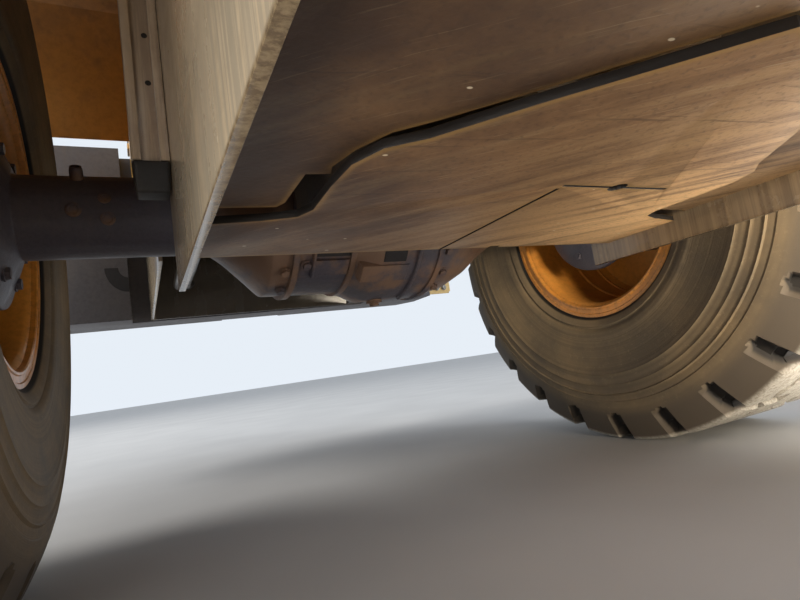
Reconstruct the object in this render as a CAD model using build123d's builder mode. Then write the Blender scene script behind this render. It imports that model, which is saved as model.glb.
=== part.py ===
from build123d import *
import os
from math import radians, sin, cos, atan2, hypot

# Articulated wheel loader, parked with its bucket level. Front is -Y, rear is +Y, up is +Z.
# The ground is z = 0 and x = 0 is the plane of symmetry.

# stations along the machine
hinge_y = 300.0
wheelbase_front = 1675.0
wheelbase_rear = 1675.0

# wheels
tyre_r = 775.0
tread_r = 742.0
tyre_bulge = 295.0
wheel_x = 1070.0
tread_half = 222.0
blocks_per_side = 24
block_pitch = 360.0 / blocks_per_side
wheel_sides = blocks_per_side
groove_half = 19.0
rim_seat_r = 318.0
rim_flange_r = 356.0
rim_half = 238.0
rim_wall = 18.0
disc_x = 95.0
hub_r = 190.0
fit_gap = 0.3

# axles
axle_r = 90.0
diff_r = 235.0
flare_x = 800.0
shaft_gap = 110.0

# rear frame
plate_out = 526.0
plate_t = 11.0
plate_low = 545.0
frame_top = 1150.0
plate_front = 330.0
plate_tip_back = 285.0
rail_low = 755.0
rail_rear = 1600.0
cross_y = 770.0
hitch_half = 175.0
hitch_plate = 25.0
lug_t = 50.0
lug_low = 700.0
lug_high = 1060.0
lug_r = 110.0
pin_r = 49.4
pin_bore = 50.0
ear_t = 45.0
ear_gap = 0.5
ear_r = 102.0

# belly guards
guard_z = 592.0
guard_t = 12.0
guard_step = 14.0
guard_rear_back = 341.0
guard_slit = 957.0

# lift linkage, (distance ahead of the hinge, height)
arm_pivot = (850.0, 1950.0)
bucket_pin = (2755.0, 290.0)
crank_pivot = (1980.0, 1450.0)
crank_top = (1830.0, 1900.0)
crank_low = (2276.0, 600.0)
link_front = (2819.0, 600.0)
lift_base = (900.0, 640.0)
lift_eye = (1700.0, 1560.0)
arm_x = 330.0
arm_t = 60.0
lift_cyl_x = 457.0
lift_eye_w = 86.0
cross_tube = (1715.0, 1545.0)
cross_tube_r = 72.0
pivot_r = 55.0
pin_small = 40.0
running = 0.6

# steering cylinders, (sideways, behind the hinge) and height
steer_base = (420.0, 700.0)
steer_eye = (300.0, -160.0)
steer_z = 900.0
steer_pin = 25.0

# bucket
bucket_w = 2930.0
bucket_t = 25.0
bucket_clear = 6.0
bucket_depth = 1080.0
bucket_back = 275.0
bucket_high = 900.0

# counterweight wings and the tow pin's bore
wing_front = 1480.0
tow_r = 26.0
tow_y = 1870.0

# cab
cab_half = 720.0
cab_front = -280.0
cab_rear = 1150.0
cab_low = 1400.0
cab_high = 3280.0
cab_wall = 45.0
floor_t = 50.0
roof_t = 120.0
door_y0 = 150.0
door_y1 = 900.0
door_z0 = 1480.0
door_z1 = 3190.0
door_gap = 6.0
glass_t = 6.0

# hood and fenders
hood_half = 560.0
sill_t = 15.0
hood_high = 2420.0
hood_front = 1200.0
hood_rear = 1560.0
hood_wall = 30.0
knuckle_pin = 5.0
fender_out = 1370.0
fender_z = 1715.0
fender_t = 14.0

axle_z = tyre_r
saddle_z = axle_z + diff_r + fit_gap
front_y = hinge_y - wheelbase_front
rear_y = hinge_y + wheelbase_rear
plate_in = plate_out - plate_t
cross_low = guard_z + guard_step + guard_t + fit_gap
hood_low = frame_top + sill_t + fit_gap
fender_in = hood_half + fit_gap
cab_y0 = hinge_y + cab_front
cab_y1 = hinge_y + cab_rear
upper_ear = lug_t + ear_gap + ear_t

os.makedirs("parts", exist_ok=True)


def at(p):
    """A linkage point as a (y, z) pair."""
    return (hinge_y - p[0], p[1])


def save(builder, name):
    builder.part.label = name
    export_step(builder.part, "parts/" + name + ".step")


def side_plane(x):
    """Profile plane at a sideways station, whose local axes are +Y and +Z."""
    return Plane(origin=(x, 0, 0), x_dir=(0, 1, 0), z_dir=(1, 0, 0))


def line_frame(x, p, q):
    """Plane at point p looking along the line from p to q, both (y, z)."""
    return Plane(origin=(x, p[0], p[1]), x_dir=(1, 0, 0), z_dir=(0, q[0] - p[0], q[1] - p[1]))


# wheels: a barrel with a disc and hub cap, and a tyre with grooved shoulders, drawn at the origin along +X
with BuildPart() as rim_form:
    for x0, x1, r in (
        (-rim_half - 16, -rim_half - fit_gap, rim_flange_r),
        (-rim_half - fit_gap, rim_half + fit_gap, rim_seat_r),
        (rim_half + fit_gap, rim_half + 16, rim_flange_r),
    ):
        with BuildSketch(Plane.YZ.offset(x0)):
            RegularPolygon(r, wheel_sides, rotation=block_pitch / 2)
        extrude(amount=x1 - x0)
    with BuildSketch(Plane.YZ.offset(-rim_half - 16)):
        RegularPolygon(rim_seat_r - rim_wall, wheel_sides, rotation=block_pitch / 2)
    extrude(amount=rim_half + 16 + disc_x, mode=Mode.SUBTRACT)
    with BuildSketch(Plane.YZ.offset(disc_x + 24)):
        RegularPolygon(rim_seat_r - rim_wall, wheel_sides, rotation=block_pitch / 2)
    extrude(amount=rim_half, mode=Mode.SUBTRACT)
    with BuildSketch(Plane.YZ.offset(disc_x + 24)):
        Circle(hub_r - 20)
    extrude(amount=150, taper=12)

with BuildPart() as groove_plus:
    with BuildSketch(Plane.XZ):
        Polygon((30, tread_r), (30, tyre_r + 30), (340, tyre_r + 30), (340, tread_r - 98), (190, tread_r), align=None)
    extrude(amount=groove_half, both=True)
with BuildPart() as groove_minus:
    add(groove_plus.part.mirror(Plane.YZ))

with BuildPart() as tyre_form:
    for x, r in (
        (-rim_half, rim_flange_r + 12), (-tyre_bulge, 520), (-tyre_bulge + 9, 640), (-tread_half, tyre_r),
        (tread_half, tyre_r), (tyre_bulge - 9, 640), (tyre_bulge, 520), (rim_half, rim_flange_r + 12),
    ):
        with BuildSketch(Plane.YZ.offset(x)):
            RegularPolygon(r, wheel_sides, major_radius=False, rotation=block_pitch / 2)
    loft(ruled=True)
    for groove, turn in ((groove_plus, block_pitch / 2), (groove_minus, 0.0)):
        with Locations(*[Location((0, 0, 0), (i * block_pitch + turn, 0, 0)) for i in range(blocks_per_side)]):
            add(groove.part, mode=Mode.SUBTRACT)
    with BuildSketch(Plane.YZ.offset(-tyre_bulge)):
        RegularPolygon(rim_seat_r + fit_gap, wheel_sides, rotation=block_pitch / 2)
    extrude(amount=2 * tyre_bulge, mode=Mode.SUBTRACT)

for corner, x, y in (
    ("front_left", wheel_x, front_y), ("front_right", -wheel_x, front_y),
    ("rear_left", wheel_x, rear_y), ("rear_right", -wheel_x, rear_y),
):
    turn = 0 if x > 0 else 180
    for kind, form in (("rim", rim_form), ("tyre", tyre_form)):
        wheel = Pos(x, y, axle_z) * Rot(0, 0, turn) * form.part
        wheel.label = kind + "_" + corner
        export_step(wheel, "parts/" + wheel.label + ".step")

# axles: a tapering housing with the differential bulge and the final drives inside the rims
for name, y in (("rear_axle", rear_y), ("front_axle", front_y)):
    with BuildPart() as axle:
        with BuildSketch(Plane(origin=(0, y, axle_z), x_dir=(1, 0, 0), z_dir=(0, -1, 0))):
            with BuildLine():
                Polyline(
                    (-wheel_x + 60, 0), (-wheel_x + 60, hub_r - 50), (-flare_x - 60, hub_r - 30),
                    (-flare_x - 60, hub_r), (-flare_x - 38, hub_r), (-flare_x, axle_r), (-434, axle_r),
                    (-400, axle_r + 26), (-360, diff_r - 80), (-315, diff_r - 34), (-120, diff_r - 30),
                    (-60, diff_r), (100, diff_r), (190, diff_r - 20), (250, diff_r - 50), (300, diff_r - 85),
                    (400, axle_r), (flare_x, axle_r), (flare_x + 38, hub_r),
                    (flare_x + 60, hub_r), (flare_x + 60, hub_r - 30), (wheel_x - 60, hub_r - 50),
                    (wheel_x - 60, 0), close=True,
                )
            make_face()
        revolve(axis=Axis((0, y, axle_z), (1, 0, 0)))
        for s in (-1, 1):
            with BuildSketch(Plane.YZ.offset(s * (wheel_x - 60))):
                with Locations((y, axle_z)):
                    RegularPolygon(hub_r - 60, 24)
            extrude(amount=s * (disc_x + 60 - fit_gap))
    if name == "rear_axle":
        rear_axle = axle
    else:
        front_axle = axle
    save(axle, name)

# rear frame: two deep side plates, the cross plates and the hitch between them
with BuildPart() as rear_frame:
    for s in (-1, 1):
        with BuildSketch(side_plane(s * plate_out)):
            Polygon(
                (hinge_y + plate_front, plate_low + 90), (hinge_y + plate_front + 110, plate_low),
                (rear_y - plate_tip_back, plate_low), (rear_y - plate_tip_back, axle_z + 180),
                (rear_y + plate_tip_back, axle_z + 180), (rear_y + plate_tip_back + 60, rail_low),
                (rear_y + rail_rear, rail_low), (rear_y + rail_rear, frame_top),
                (hinge_y + plate_front, frame_top), align=None,
            )
        extrude(amount=-s * plate_t)
    for y, low, high in (
        (hinge_y + cross_y, cross_low, frame_top),
        (rear_y - 335, axle_z + 220, frame_top),
        (rear_y + rail_rear - 24, rail_low, frame_top),
    ):
        with Locations((0, y + 10, (low + high) / 2)):
            Box(2 * plate_in, 20, high - low)
    for s in (-1, 1):
        with BuildSketch(side_plane(s * hitch_half)):
            Polygon(
                (hinge_y + 130, lug_low), (hinge_y + cross_y, cross_low),
                (hinge_y + cross_y, frame_top), (hinge_y + 130, lug_high + lug_t), align=None,
            )
        extrude(amount=-s * hitch_plate)
    for z in (lug_low, lug_high):
        with BuildSketch(Plane.XY.offset(z)):
            Polygon((-hitch_half, hinge_y + 260), (-hitch_half, hinge_y + 130), (-lug_r, hinge_y), (lug_r, hinge_y),
                    (hitch_half, hinge_y + 130), (hitch_half, hinge_y + 260), align=None)
            with Locations((0, hinge_y)):
                Circle(lug_r)
            with Locations((0, hinge_y)):
                Circle(pin_bore, mode=Mode.SUBTRACT)
        extrude(amount=lug_t)
    for s in (-1, 1):
        with Locations((s * (plate_out - 45), rear_y, axle_z + (axle_r + 180) / 2 + fit_gap / 2)):
            Box(90, 150, 180 - axle_r - fit_gap)
        with Locations((s * (plate_in + hood_half) / 2, rear_y + 560, frame_top + sill_t / 2)):
            Box(hood_half - plate_in, 2050, sill_t)
        with Locations((s * (plate_out + 30), rear_y - 350, (755 + frame_top) / 2)):
            Box(60, 26, frame_top - 755)
        for x in (8, 52):
            with Locations((s * (plate_out + x), rear_y - 368, (755 + frame_top) / 2)):
                Box(14, 16, frame_top - 755)
        for z in (steer_z - 75, steer_z + 50):
            with BuildSketch(Plane.XY.offset(z)):
                Polygon(
                    (s * (steer_base[0] - 55), hinge_y + cross_y), (s * (steer_base[0] + 55), hinge_y + cross_y),
                    (s * (steer_base[0] + 35), hinge_y + steer_base[1] - 45),
                    (s * (steer_base[0] - 35), hinge_y + steer_base[1] - 45), align=None,
                )
            extrude(amount=25)
        with Locations((s * steer_base[0], hinge_y + steer_base[1], steer_z)):
            Cylinder(steer_pin, 170)
save(rear_frame, "rear_frame")

# hitch pins through lugs and ears
with BuildPart() as hitch_pins:
    for z in (lug_low, lug_high):
        low, head = z - ear_t - 6, z + upper_ear + fit_gap
        with Locations((0, hinge_y, low)):
            Cylinder(pin_r, head + 16 - low, align=(Align.CENTER, Align.CENTER, Align.MIN))
        with Locations((0, hinge_y, head)):
            Cylinder(pin_r + 22, 16, align=(Align.CENTER, Align.CENTER, Align.MIN))
save(hitch_pins, "hitch_pins")

# belly guards: the rear one has a nose that runs forward to the centre, the front one lies a step higher
nose = [(plate_in - fit_gap, 1142), (425, 1124), (378, 1106), (364, 1074), (368, 985), (366, 915), (345, 868),
        (305, 838), (229, 750), (79, 591)]
fore_edge = [(plate_in - fit_gap, 1111), (408, 1104), (400, 1085), (400, 981), (368, 976), (374, 955), (362, 905),
             (338, 858), (300, 825), (222, 745), (72, 583)]
with BuildPart() as belly_guards:
    with BuildSketch(Plane.XY.offset(guard_z)):
        pts = [(plate_in - fit_gap, rear_y - guard_rear_back)]
        pts += [(x, hinge_y + y) for x, y in nose]
        pts += [(-x, y) for x, y in reversed(pts)]
        Polygon(*pts, align=None)
        with Locations((118, hinge_y + guard_slit)):
            SlotOverall(240, 7, mode=Mode.SUBTRACT)
            Circle(16, mode=Mode.SUBTRACT)
        with Locations((0, (hinge_y + guard_slit + 12 + rear_y - guard_rear_back) / 2)):
            Rectangle(7, rear_y - guard_rear_back - hinge_y - guard_slit - 12, mode=Mode.SUBTRACT)
        with Locations((140, rear_y - guard_rear_back)):
            Rectangle(26, 24, mode=Mode.SUBTRACT)
    extrude(amount=guard_t)
    with BuildSketch(Plane.XY.offset(guard_z + guard_step)):
        pts = [(x, hinge_y + y) for x, y in fore_edge]
        pts = [(300, hinge_y + 20), (plate_in - fit_gap, hinge_y + plate_front)] + pts
        pts += [(-x, y) for x, y in reversed(pts)]
        Polygon(*pts, align=None)
    extrude(amount=guard_t)
save(belly_guards, "belly_guards")

# rubber bump stops under the ridged brackets beside the side plates
with BuildPart() as bump_stops:
    for s in (-1, 1):
        with BuildSketch(Plane.XY.offset(755 - fit_gap)):
            with Locations((s * (plate_out + 30), rear_y - 350)):
                RectangleRounded(60, 52, 8)
        extrude(amount=-55, taper=4)
save(bump_stops, "bump_stops")

# power unit: the transmission ahead of the axle and the engine above it, as plain blocks on their feet
trans_y0, trans_y1 = hinge_y + cross_y + 30, rear_y - diff_r - shaft_gap
with BuildPart() as power_unit:
    with Locations((0, (trans_y0 + trans_y1) / 2, 890)):
        Box(620, trans_y1 - trans_y0, 460)
    with Locations((0, rear_y + 610, 1330)):
        Box(760, 1820, 560)
    with BuildSketch(Plane.XZ.offset(-trans_y1)):
        with Locations((0, axle_z + 20)):
            Circle(70)
    extrude(amount=-(shaft_gap - fit_gap))
    for s in (-1, 1):
        for x, y, z in ((310, (trans_y0 + trans_y1) / 2, 900), (380, rear_y - 100, 1090), (380, rear_y + 1200, 1090)):
            with Locations((s * (x + plate_in - fit_gap) / 2, y, z)):
                Box(plate_in - fit_gap - x, 120, 60)
save(power_unit, "power_unit")

# counterweight: a block with a tow pin pocket that wraps the frame's rear end, with wings along the rails
with BuildPart() as counterweight:
    with BuildSketch(Plane.XY.offset(750)):
        with BuildLine():
            Polyline(
                (-610, rear_y + rail_rear + fit_gap), (-610, rear_y + wing_front), (-1030, rear_y + wing_front),
                (-1030, rear_y + 1700), (-860, rear_y + 1930), (860, rear_y + 1930), (1030, rear_y + 1700),
                (1030, rear_y + wing_front), (610, rear_y + wing_front), (610, rear_y + rail_rear + fit_gap), close=True,
            )
        make_face()
    extrude(amount=860)
    chamfer(counterweight.faces().sort_by(Axis.Z)[0].edges().sort_by(Axis.Y)[-1], 120)
    with Locations((0, rear_y + 1930, 990)):
        Box(320, 300, 520, mode=Mode.SUBTRACT)
    for z in (895, 1015):
        with Locations((0, rear_y + 1850, z)):
            Box(320, 150, 30)
    with Locations((0, rear_y + tow_y, 955)):
        Cylinder(tow_r, 160, mode=Mode.SUBTRACT)
save(counterweight, "counterweight")

stacks = [(-220, 260, 62), (230, -150, 60)]
grille_low, grille_high, grille_t = 1660.0, hood_high - 330.0, 34.0
knuckle_x, knuckle_y = -hood_half + 4.0, rear_y + hood_rear + fit_gap + grille_t + 4

# hood: a hollow shell with a sloping rear deck and side vents, open below and behind
hood_profile = [
    (hood_front, hood_low), (rear_y - hinge_y + hood_rear, hood_low), (rear_y - hinge_y + hood_rear, hood_high - 260),
    (rear_y - hinge_y + hood_rear - 260, hood_high - 90), (hood_front, hood_high),
]
with BuildPart() as hood:
    with BuildSketch(side_plane(-hood_half)):
        Polygon(*[(hinge_y + y, z) for y, z in hood_profile], align=None)
    extrude(amount=2 * hood_half)
    fillet(hood.edges().filter_by(Axis.Y).group_by(Axis.Z)[-1], 70)
    with BuildSketch(side_plane(-hood_half + hood_wall)):
        Polygon(
            (hinge_y + hood_front - 10, hood_low - 10), (rear_y + hood_rear + 10, hood_low - 10),
            (rear_y + hood_rear + 10, hood_high - 320), (rear_y + hood_rear - 290, hood_high - 130),
            (hinge_y + hood_front - 10, hood_high - hood_wall - 10), align=None,
        )
    extrude(amount=2 * (hood_half - hood_wall), mode=Mode.SUBTRACT)
    with BuildSketch(side_plane(-hood_half - 10)):
        with Locations((rear_y + 900, 1900)):
            with GridLocations(0, 60, 1, 7):
                Rectangle(520, 26)
    extrude(amount=2 * hood_half + 20, mode=Mode.SUBTRACT)
    for x, y, r in stacks:
        with Locations((x, rear_y + y, hood_high)):
            Cylinder(r + 8, 400, mode=Mode.SUBTRACT)
    for z, s in ((grille_low, -1), (grille_high, 1)):
        with Locations((knuckle_x, rear_y + hood_rear + 4, z + s * 18)):
            Box(26, 100, 30)
        with Locations((knuckle_x, knuckle_y, z - s * 25)):
            Cylinder(knuckle_pin, 90)
save(hood, "hood")

# rear grille door with its bars, hinged at its right edge
with BuildPart() as grille_door:
    with BuildSketch(Plane.XZ.offset(-(rear_y + hood_rear + fit_gap))):
        with Locations((0, (grille_low + grille_high) / 2)):
            RectangleRounded(2 * hood_half - 12, grille_high - grille_low, 40)
            Rectangle(2 * hood_half - 150, grille_high - grille_low - 90, mode=Mode.SUBTRACT)
    extrude(amount=-grille_t)
    with BuildSketch(Plane.XZ.offset(-(rear_y + hood_rear + 10))):
        with Locations((0, (grille_low + grille_high) / 2)):
            with GridLocations(0, 46, 1, 8):
                Rectangle(2 * hood_half - 140, 18)
            Rectangle(26, grille_high - grille_low - 80)
    extrude(amount=-18)
    for z in (grille_low + 75, grille_high - 75):
        with Locations((knuckle_x, knuckle_y, z)):
            Cylinder(10, 150)
            Cylinder(knuckle_pin + 0.5, 160, mode=Mode.SUBTRACT)
save(grille_door, "grille_door")

# exhaust stack and air cleaner, standing on the engine and passing through the hood
with BuildPart() as intake_exhaust:
    for (x, y, r), top in zip(stacks, (3060, 2700)):
        with Locations((x, rear_y + y, 1610 + fit_gap)):
            Cylinder(r, top - 1610 - fit_gap, align=(Align.CENTER, Align.CENTER, Align.MIN))
    with Locations((stacks[0][0], rear_y + stacks[0][1], 3060)):
        Cylinder(stacks[0][2] - 10, 400, mode=Mode.SUBTRACT)
    with Locations((stacks[1][0], rear_y + stacks[1][1], 2700)):
        Cylinder(125, 120)
save(intake_exhaust, "intake_exhaust")

# fenders, swept over the wheels
with BuildPart() as rear_fenders:
    for s in (-1, 1):
        with BuildSketch(side_plane(s * fender_in)):
            with BuildLine():
                Polyline((rear_y - 755, 1400), (rear_y - 700, 1530), (rear_y - 510, fender_z),
                         (rear_y + 600, fender_z), (rear_y + 860, 1500), (rear_y + 900, 1380))
                offset(amount=fender_t, side=Side.LEFT)
            make_face()
        extrude(amount=s * (fender_out - fender_in))
        with Locations((s * (cab_half + fit_gap) / 2, hinge_y + cab_rear / 2, 1600)):
            Box(cab_half + fit_gap, cab_rear + 2 * fit_gap, 700, mode=Mode.SUBTRACT)
save(rear_fenders, "rear_fenders")

# cab: a hollow shell with its window and door openings, a floor and a separate roof
windows = {
    "front": (cab_half - 70, 1980, 3190), "rear": (cab_half - 150, 2520, 3190),
}
side_windows = [(-1, cab_front + 75, cab_rear - 80, 2030, 3190), (1, cab_front + 75, door_y0 - 70, 1700, 3190),
                (1, door_y1 + 70, cab_rear - 80, 2030, 3190)]
with BuildPart() as cab_shell:
    with BuildSketch(Plane.XY.offset(cab_low)):
        with Locations((0, (cab_y0 + cab_y1) / 2)):
            RectangleRounded(2 * cab_half, cab_y1 - cab_y0, 70)
    extrude(amount=cab_high - cab_low)
    with BuildSketch(Plane.XY.offset(cab_low + floor_t)):
        with Locations((0, (cab_y0 + cab_y1) / 2)):
            RectangleRounded(2 * (cab_half - cab_wall), cab_y1 - cab_y0 - 2 * cab_wall, 40)
    extrude(amount=cab_high - cab_low, mode=Mode.SUBTRACT)
    for face, y in (("front", cab_y0), ("rear", cab_y1)):
        half, low, high = windows[face]
        with Locations((0, y, (low + high) / 2)):
            Box(2 * half, 2.5 * cab_wall, high - low, mode=Mode.SUBTRACT)
    for side, y0, y1, low, high in side_windows + [(1, door_y0, door_y1, door_z0, door_z1)]:
        with Locations((side * cab_half, hinge_y + (y0 + y1) / 2, (low + high) / 2)):
            Box(2.5 * cab_wall, y1 - y0, high - low, mode=Mode.SUBTRACT)
    for z in (door_z0 + 260, door_z1 - 260):
        with Locations((cab_half + 12, hinge_y + door_y1 + 14 + fit_gap + 14, z)):
            Box(26, 28, 90)
save(cab_shell, "cab_shell")

with BuildPart() as cab_roof:
    with BuildSketch(Plane.XY.offset(cab_high + fit_gap)):
        with Locations((0, (cab_y0 + cab_y1) / 2 - 15)):
            RectangleRounded(2 * cab_half + 70, cab_y1 - cab_y0 + 130, 90)
    extrude(amount=roof_t)
    chamfer(cab_roof.faces().sort_by(Axis.Z)[-1].edges(), 30)
    for x in (-560, -330, 330, 560):
        with Locations((x, cab_y0 - 90, cab_high + 70)):
            Box(150, 90, 90)
save(cab_roof, "cab_roof")

with BuildPart() as cab_glass:
    for face, y, s in (("front", cab_y0, 1), ("rear", cab_y1, -1)):
        half, low, high = windows[face]
        with Locations((0, y + s * cab_wall / 2, (low + high) / 2)):
            Box(2 * (half - fit_gap), glass_t, high - low - 2 * fit_gap)
    for side, y0, y1, low, high in side_windows:
        with Locations((side * (cab_half - cab_wall / 2), hinge_y + (y0 + y1) / 2, (low + high) / 2)):
            Box(glass_t, y1 - y0 - 2 * fit_gap, high - low - 2 * fit_gap)
save(cab_glass, "cab_glass")

# door: a frame with a glass pane, on two knuckles behind its rear edge
door_mid = (hinge_y + (door_y0 + door_y1) / 2, (door_z0 + door_z1) / 2)
door_w, door_h = door_y1 - door_y0 - 2 * door_gap, door_z1 - door_z0 - 2 * door_gap
with BuildPart() as cab_door:
    with BuildSketch(side_plane(cab_half - 40)):
        with Locations(door_mid):
            Rectangle(door_w, door_h)
            Rectangle(door_w - 130, door_h - 130, mode=Mode.SUBTRACT)
    extrude(amount=40)
    for z in (door_z0 + 260, door_z1 - 260):
        with Locations((cab_half + 7, hinge_y + door_y1 - 8, z)):
            Box(14, 22, 80)
        with Locations((cab_half + 14, hinge_y + door_y1 + 3, z)):
            Cylinder(11, 80)
save(cab_door, "cab_door")
with BuildPart() as door_glass:
    with Locations((cab_half - 20, *door_mid)):
        Box(glass_t, door_w - 130 - 2 * fit_gap, door_h - 130 - 2 * fit_gap)
save(door_glass, "door_glass")

# seat and console
seat_y = hinge_y + 620
with BuildPart() as operator_seat:
    with Locations((0, seat_y, cab_low + floor_t + fit_gap + 150)):
        Box(300, 320, 300)
    with BuildSketch(Plane.XY.offset(cab_low + floor_t + fit_gap + 300)):
        with Locations((0, seat_y)):
            RectangleRounded(500, 500, 60)
    extrude(amount=120)
    with BuildSketch(side_plane(-240)):
        Polygon((seat_y + 150, cab_low + 440), (seat_y + 270, cab_low + 440), (seat_y + 400, cab_low + 1120),
                (seat_y + 300, cab_low + 1120), align=None)
    extrude(amount=480)
save(operator_seat, "operator_seat")
with BuildPart() as console:
    with BuildSketch(side_plane(-130)):
        Polygon((cab_y0 + 120, cab_low + floor_t + fit_gap), (cab_y0 + 330, cab_low + floor_t + fit_gap),
                (cab_y0 + 300, cab_low + 720), (cab_y0 + 150, cab_low + 760), align=None)
    extrude(amount=260)
    with BuildSketch(Plane(origin=(0, cab_y0 + 300, cab_low + 800), z_dir=(0, 0.5, 1))):
        Circle(190)
        Circle(166, mode=Mode.SUBTRACT)
        Rectangle(340, 34)
        Circle(45)
    extrude(amount=24, both=True)
    with Locations(Plane(origin=(0, cab_y0 + 240, cab_low + 690), z_dir=(0, 0.5, 1))):
        Cylinder(28, 130, align=(Align.CENTER, Align.CENTER, Align.MIN))
save(console, "console")

# platform between frame and cab, with walkways and a ladder on each side
walk_z = cab_low - 40.0
ladder_y = (hinge_y + 240, hinge_y + 700)
with BuildPart() as platform:
    with Locations((0, hinge_y + 735, (frame_top + fit_gap + cab_low - fit_gap) / 2)):
        Box(1020, 790, cab_low - frame_top - 2 * fit_gap)
        Box(940, 700, cab_low - frame_top, mode=Mode.SUBTRACT)
    for s in (-1, 1):
        with Locations((s * (510 + 1340) / 2, hinge_y + 500, walk_z + (cab_low - fit_gap - walk_z) / 2)):
            Box(1340 - 510, 800, cab_low - fit_gap - walk_z)
        for y in ladder_y:
            with BuildSketch(Plane.XZ.offset(-y)):
                Polygon((s * 1100, walk_z), (s * 1330, walk_z), (s * 1365, 430), (s * 1190, 430), align=None)
            extrude(amount=-14)
        for i in range(3):
            z = 450 + 300 * i
            with Locations((s * (1275 - 17 * i), sum(ladder_y) / 2 + 7, z)):
                Box(170 - 4 * i, ladder_y[1] - ladder_y[0] + 10, 30)
save(platform, "platform")

# handrails of bent tube
with BuildPart() as handrails:
    for s in (-1, 1):
        for pts in (
            [(s * 1310, hinge_y + 116, cab_low), (s * 1310, hinge_y + 116, 2330), (s * 800, hinge_y + 116, 2330),
             (s * 800, hinge_y + 116, cab_low)],
            [(s * 1335, rear_y - 540, fender_z + fender_t + fit_gap), (s * 1335, rear_y - 540, 2180),
             (s * 1335, rear_y + 520, 2180), (s * 1335, rear_y + 520, fender_z + fender_t + fit_gap)],
        ):
            with BuildLine() as route:
                FilletPolyline(*pts, radius=90)
            with BuildSketch(Plane(origin=pts[0], z_dir=(0, 0, 1))):
                RegularPolygon(17, 8)
            sweep(path=route.line)
save(handrails, "handrails")

# front frame: tower plates, hitch ears, axle saddle, steering brackets and pivot tubes
tower_front = wheelbase_front - 325
tower = [(330, 640), (330, 1180), (600, 1380), (725, 1960), (760, 2045), (850, 2080), (940, 2045), (1010, 1900),
         (1230, 1330), (wheelbase_front - 25, 1180), (wheelbase_front + 285, saddle_z + 25),
         (wheelbase_front + 285, saddle_z), (wheelbase_front - 275, saddle_z), (tower_front, 640)]
with BuildPart() as front_frame:
    for s in (-1, 1):
        with BuildSketch(side_plane(s * 230)):
            Polygon(*[at(p) for p in tower], align=None)
        extrude(amount=-s * 30)
    for d, z0, z1, t in ((330, 640, 1180, 25), (tower_front - 25, 640, 1250, 25)):
        with Locations((0, hinge_y - d - t / 2, (z0 + z1) / 2)):
            Box(460, t, z1 - z0)
    with Locations((0, hinge_y - (330 + tower_front) / 2, 652)):
        Box(460, tower_front - 330, 24)
    with Locations((0, front_y, saddle_z + 15)):
        Box(1400, 280, 30)
    for s in (-1, 1):
        with Locations((s * 500, front_y, (axle_z + axle_r + fit_gap + saddle_z) / 2)):
            Box(130, 160, saddle_z - axle_z - axle_r - fit_gap)
        with Locations((s * 670, front_y, (saddle_z + 30 + fender_z - fit_gap) / 2)):
            Box(60, 90, fender_z - fit_gap - saddle_z - 30)
    for z in (lug_low - ear_gap - ear_t, lug_low + lug_t + ear_gap, lug_high - ear_gap - ear_t,
              lug_high + lug_t + ear_gap):
        with BuildSketch(Plane.XY.offset(z)):
            Polygon((200, hinge_y - 340), (ear_r, hinge_y), (-ear_r, hinge_y), (-200, hinge_y - 340), align=None)
            with Locations((0, hinge_y)):
                Circle(ear_r)
            with Locations((0, hinge_y)):
                Circle(pin_bore, mode=Mode.SUBTRACT)
        extrude(amount=ear_t)
    for s in (-1, 1):
        for z in (steer_z - 60, steer_z + 35):
            with BuildSketch(Plane.XY.offset(z)):
                with Locations((s * steer_eye[0], hinge_y + steer_eye[1])):
                    Circle(45)
                with Locations((s * 180, hinge_y - 320)):
                    Circle(40)
                make_hull()
                with Locations((s * steer_eye[0], hinge_y + steer_eye[1])):
                    Circle(25, mode=Mode.SUBTRACT)
            extrude(amount=25)
    for p, r, half in ((arm_pivot, pivot_r, 395), (lift_base, 70, 380), (lift_base, pin_small, lift_cyl_x + lift_eye_w / 2 + 16)):
        with BuildSketch(Plane.YZ.offset(-half)):
            with Locations(at(p)):
                Circle(r)
        extrude(amount=2 * half)
    for s in (-1, 1):
        with BuildSketch(Plane.YZ.offset(s * (arm_x + arm_t / 2 + 8 + fit_gap))):
            with Locations(at(arm_pivot)):
                Circle(pivot_r + 25)
        extrude(amount=s * 22)
        with BuildSketch(Plane.YZ.offset(s * (lift_cyl_x + lift_eye_w / 2 + 1))):
            with Locations(at(lift_base)):
                Circle(pin_small + 18)
        extrude(amount=s * 15)
save(front_frame, "front_frame")

with BuildPart() as front_fenders:
    for s in (-1, 1):
        with BuildSketch(side_plane(s * 600)):
            with BuildLine():
                Polyline((front_y - 640, 1560), (front_y - 420, fender_z), (front_y + 480, fender_z),
                         (front_y + 740, 1500), (front_y + 790, 1280))
                offset(amount=fender_t, side=Side.LEFT)
            make_face()
        extrude(amount=s * (fender_out - 600))
save(front_fenders, "front_fenders")
with BuildPart() as front_lamps:
    for s in (-1, 1):
        with Locations((s * 720, front_y - 300, fender_z + fender_t + fit_gap + 90)):
            Box(60, 60, 180)
        with Locations((s * 720, front_y - 320, fender_z + fender_t + fit_gap + 240)):
            Box(250, 110, 150)
save(front_lamps, "front_lamps")

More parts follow.
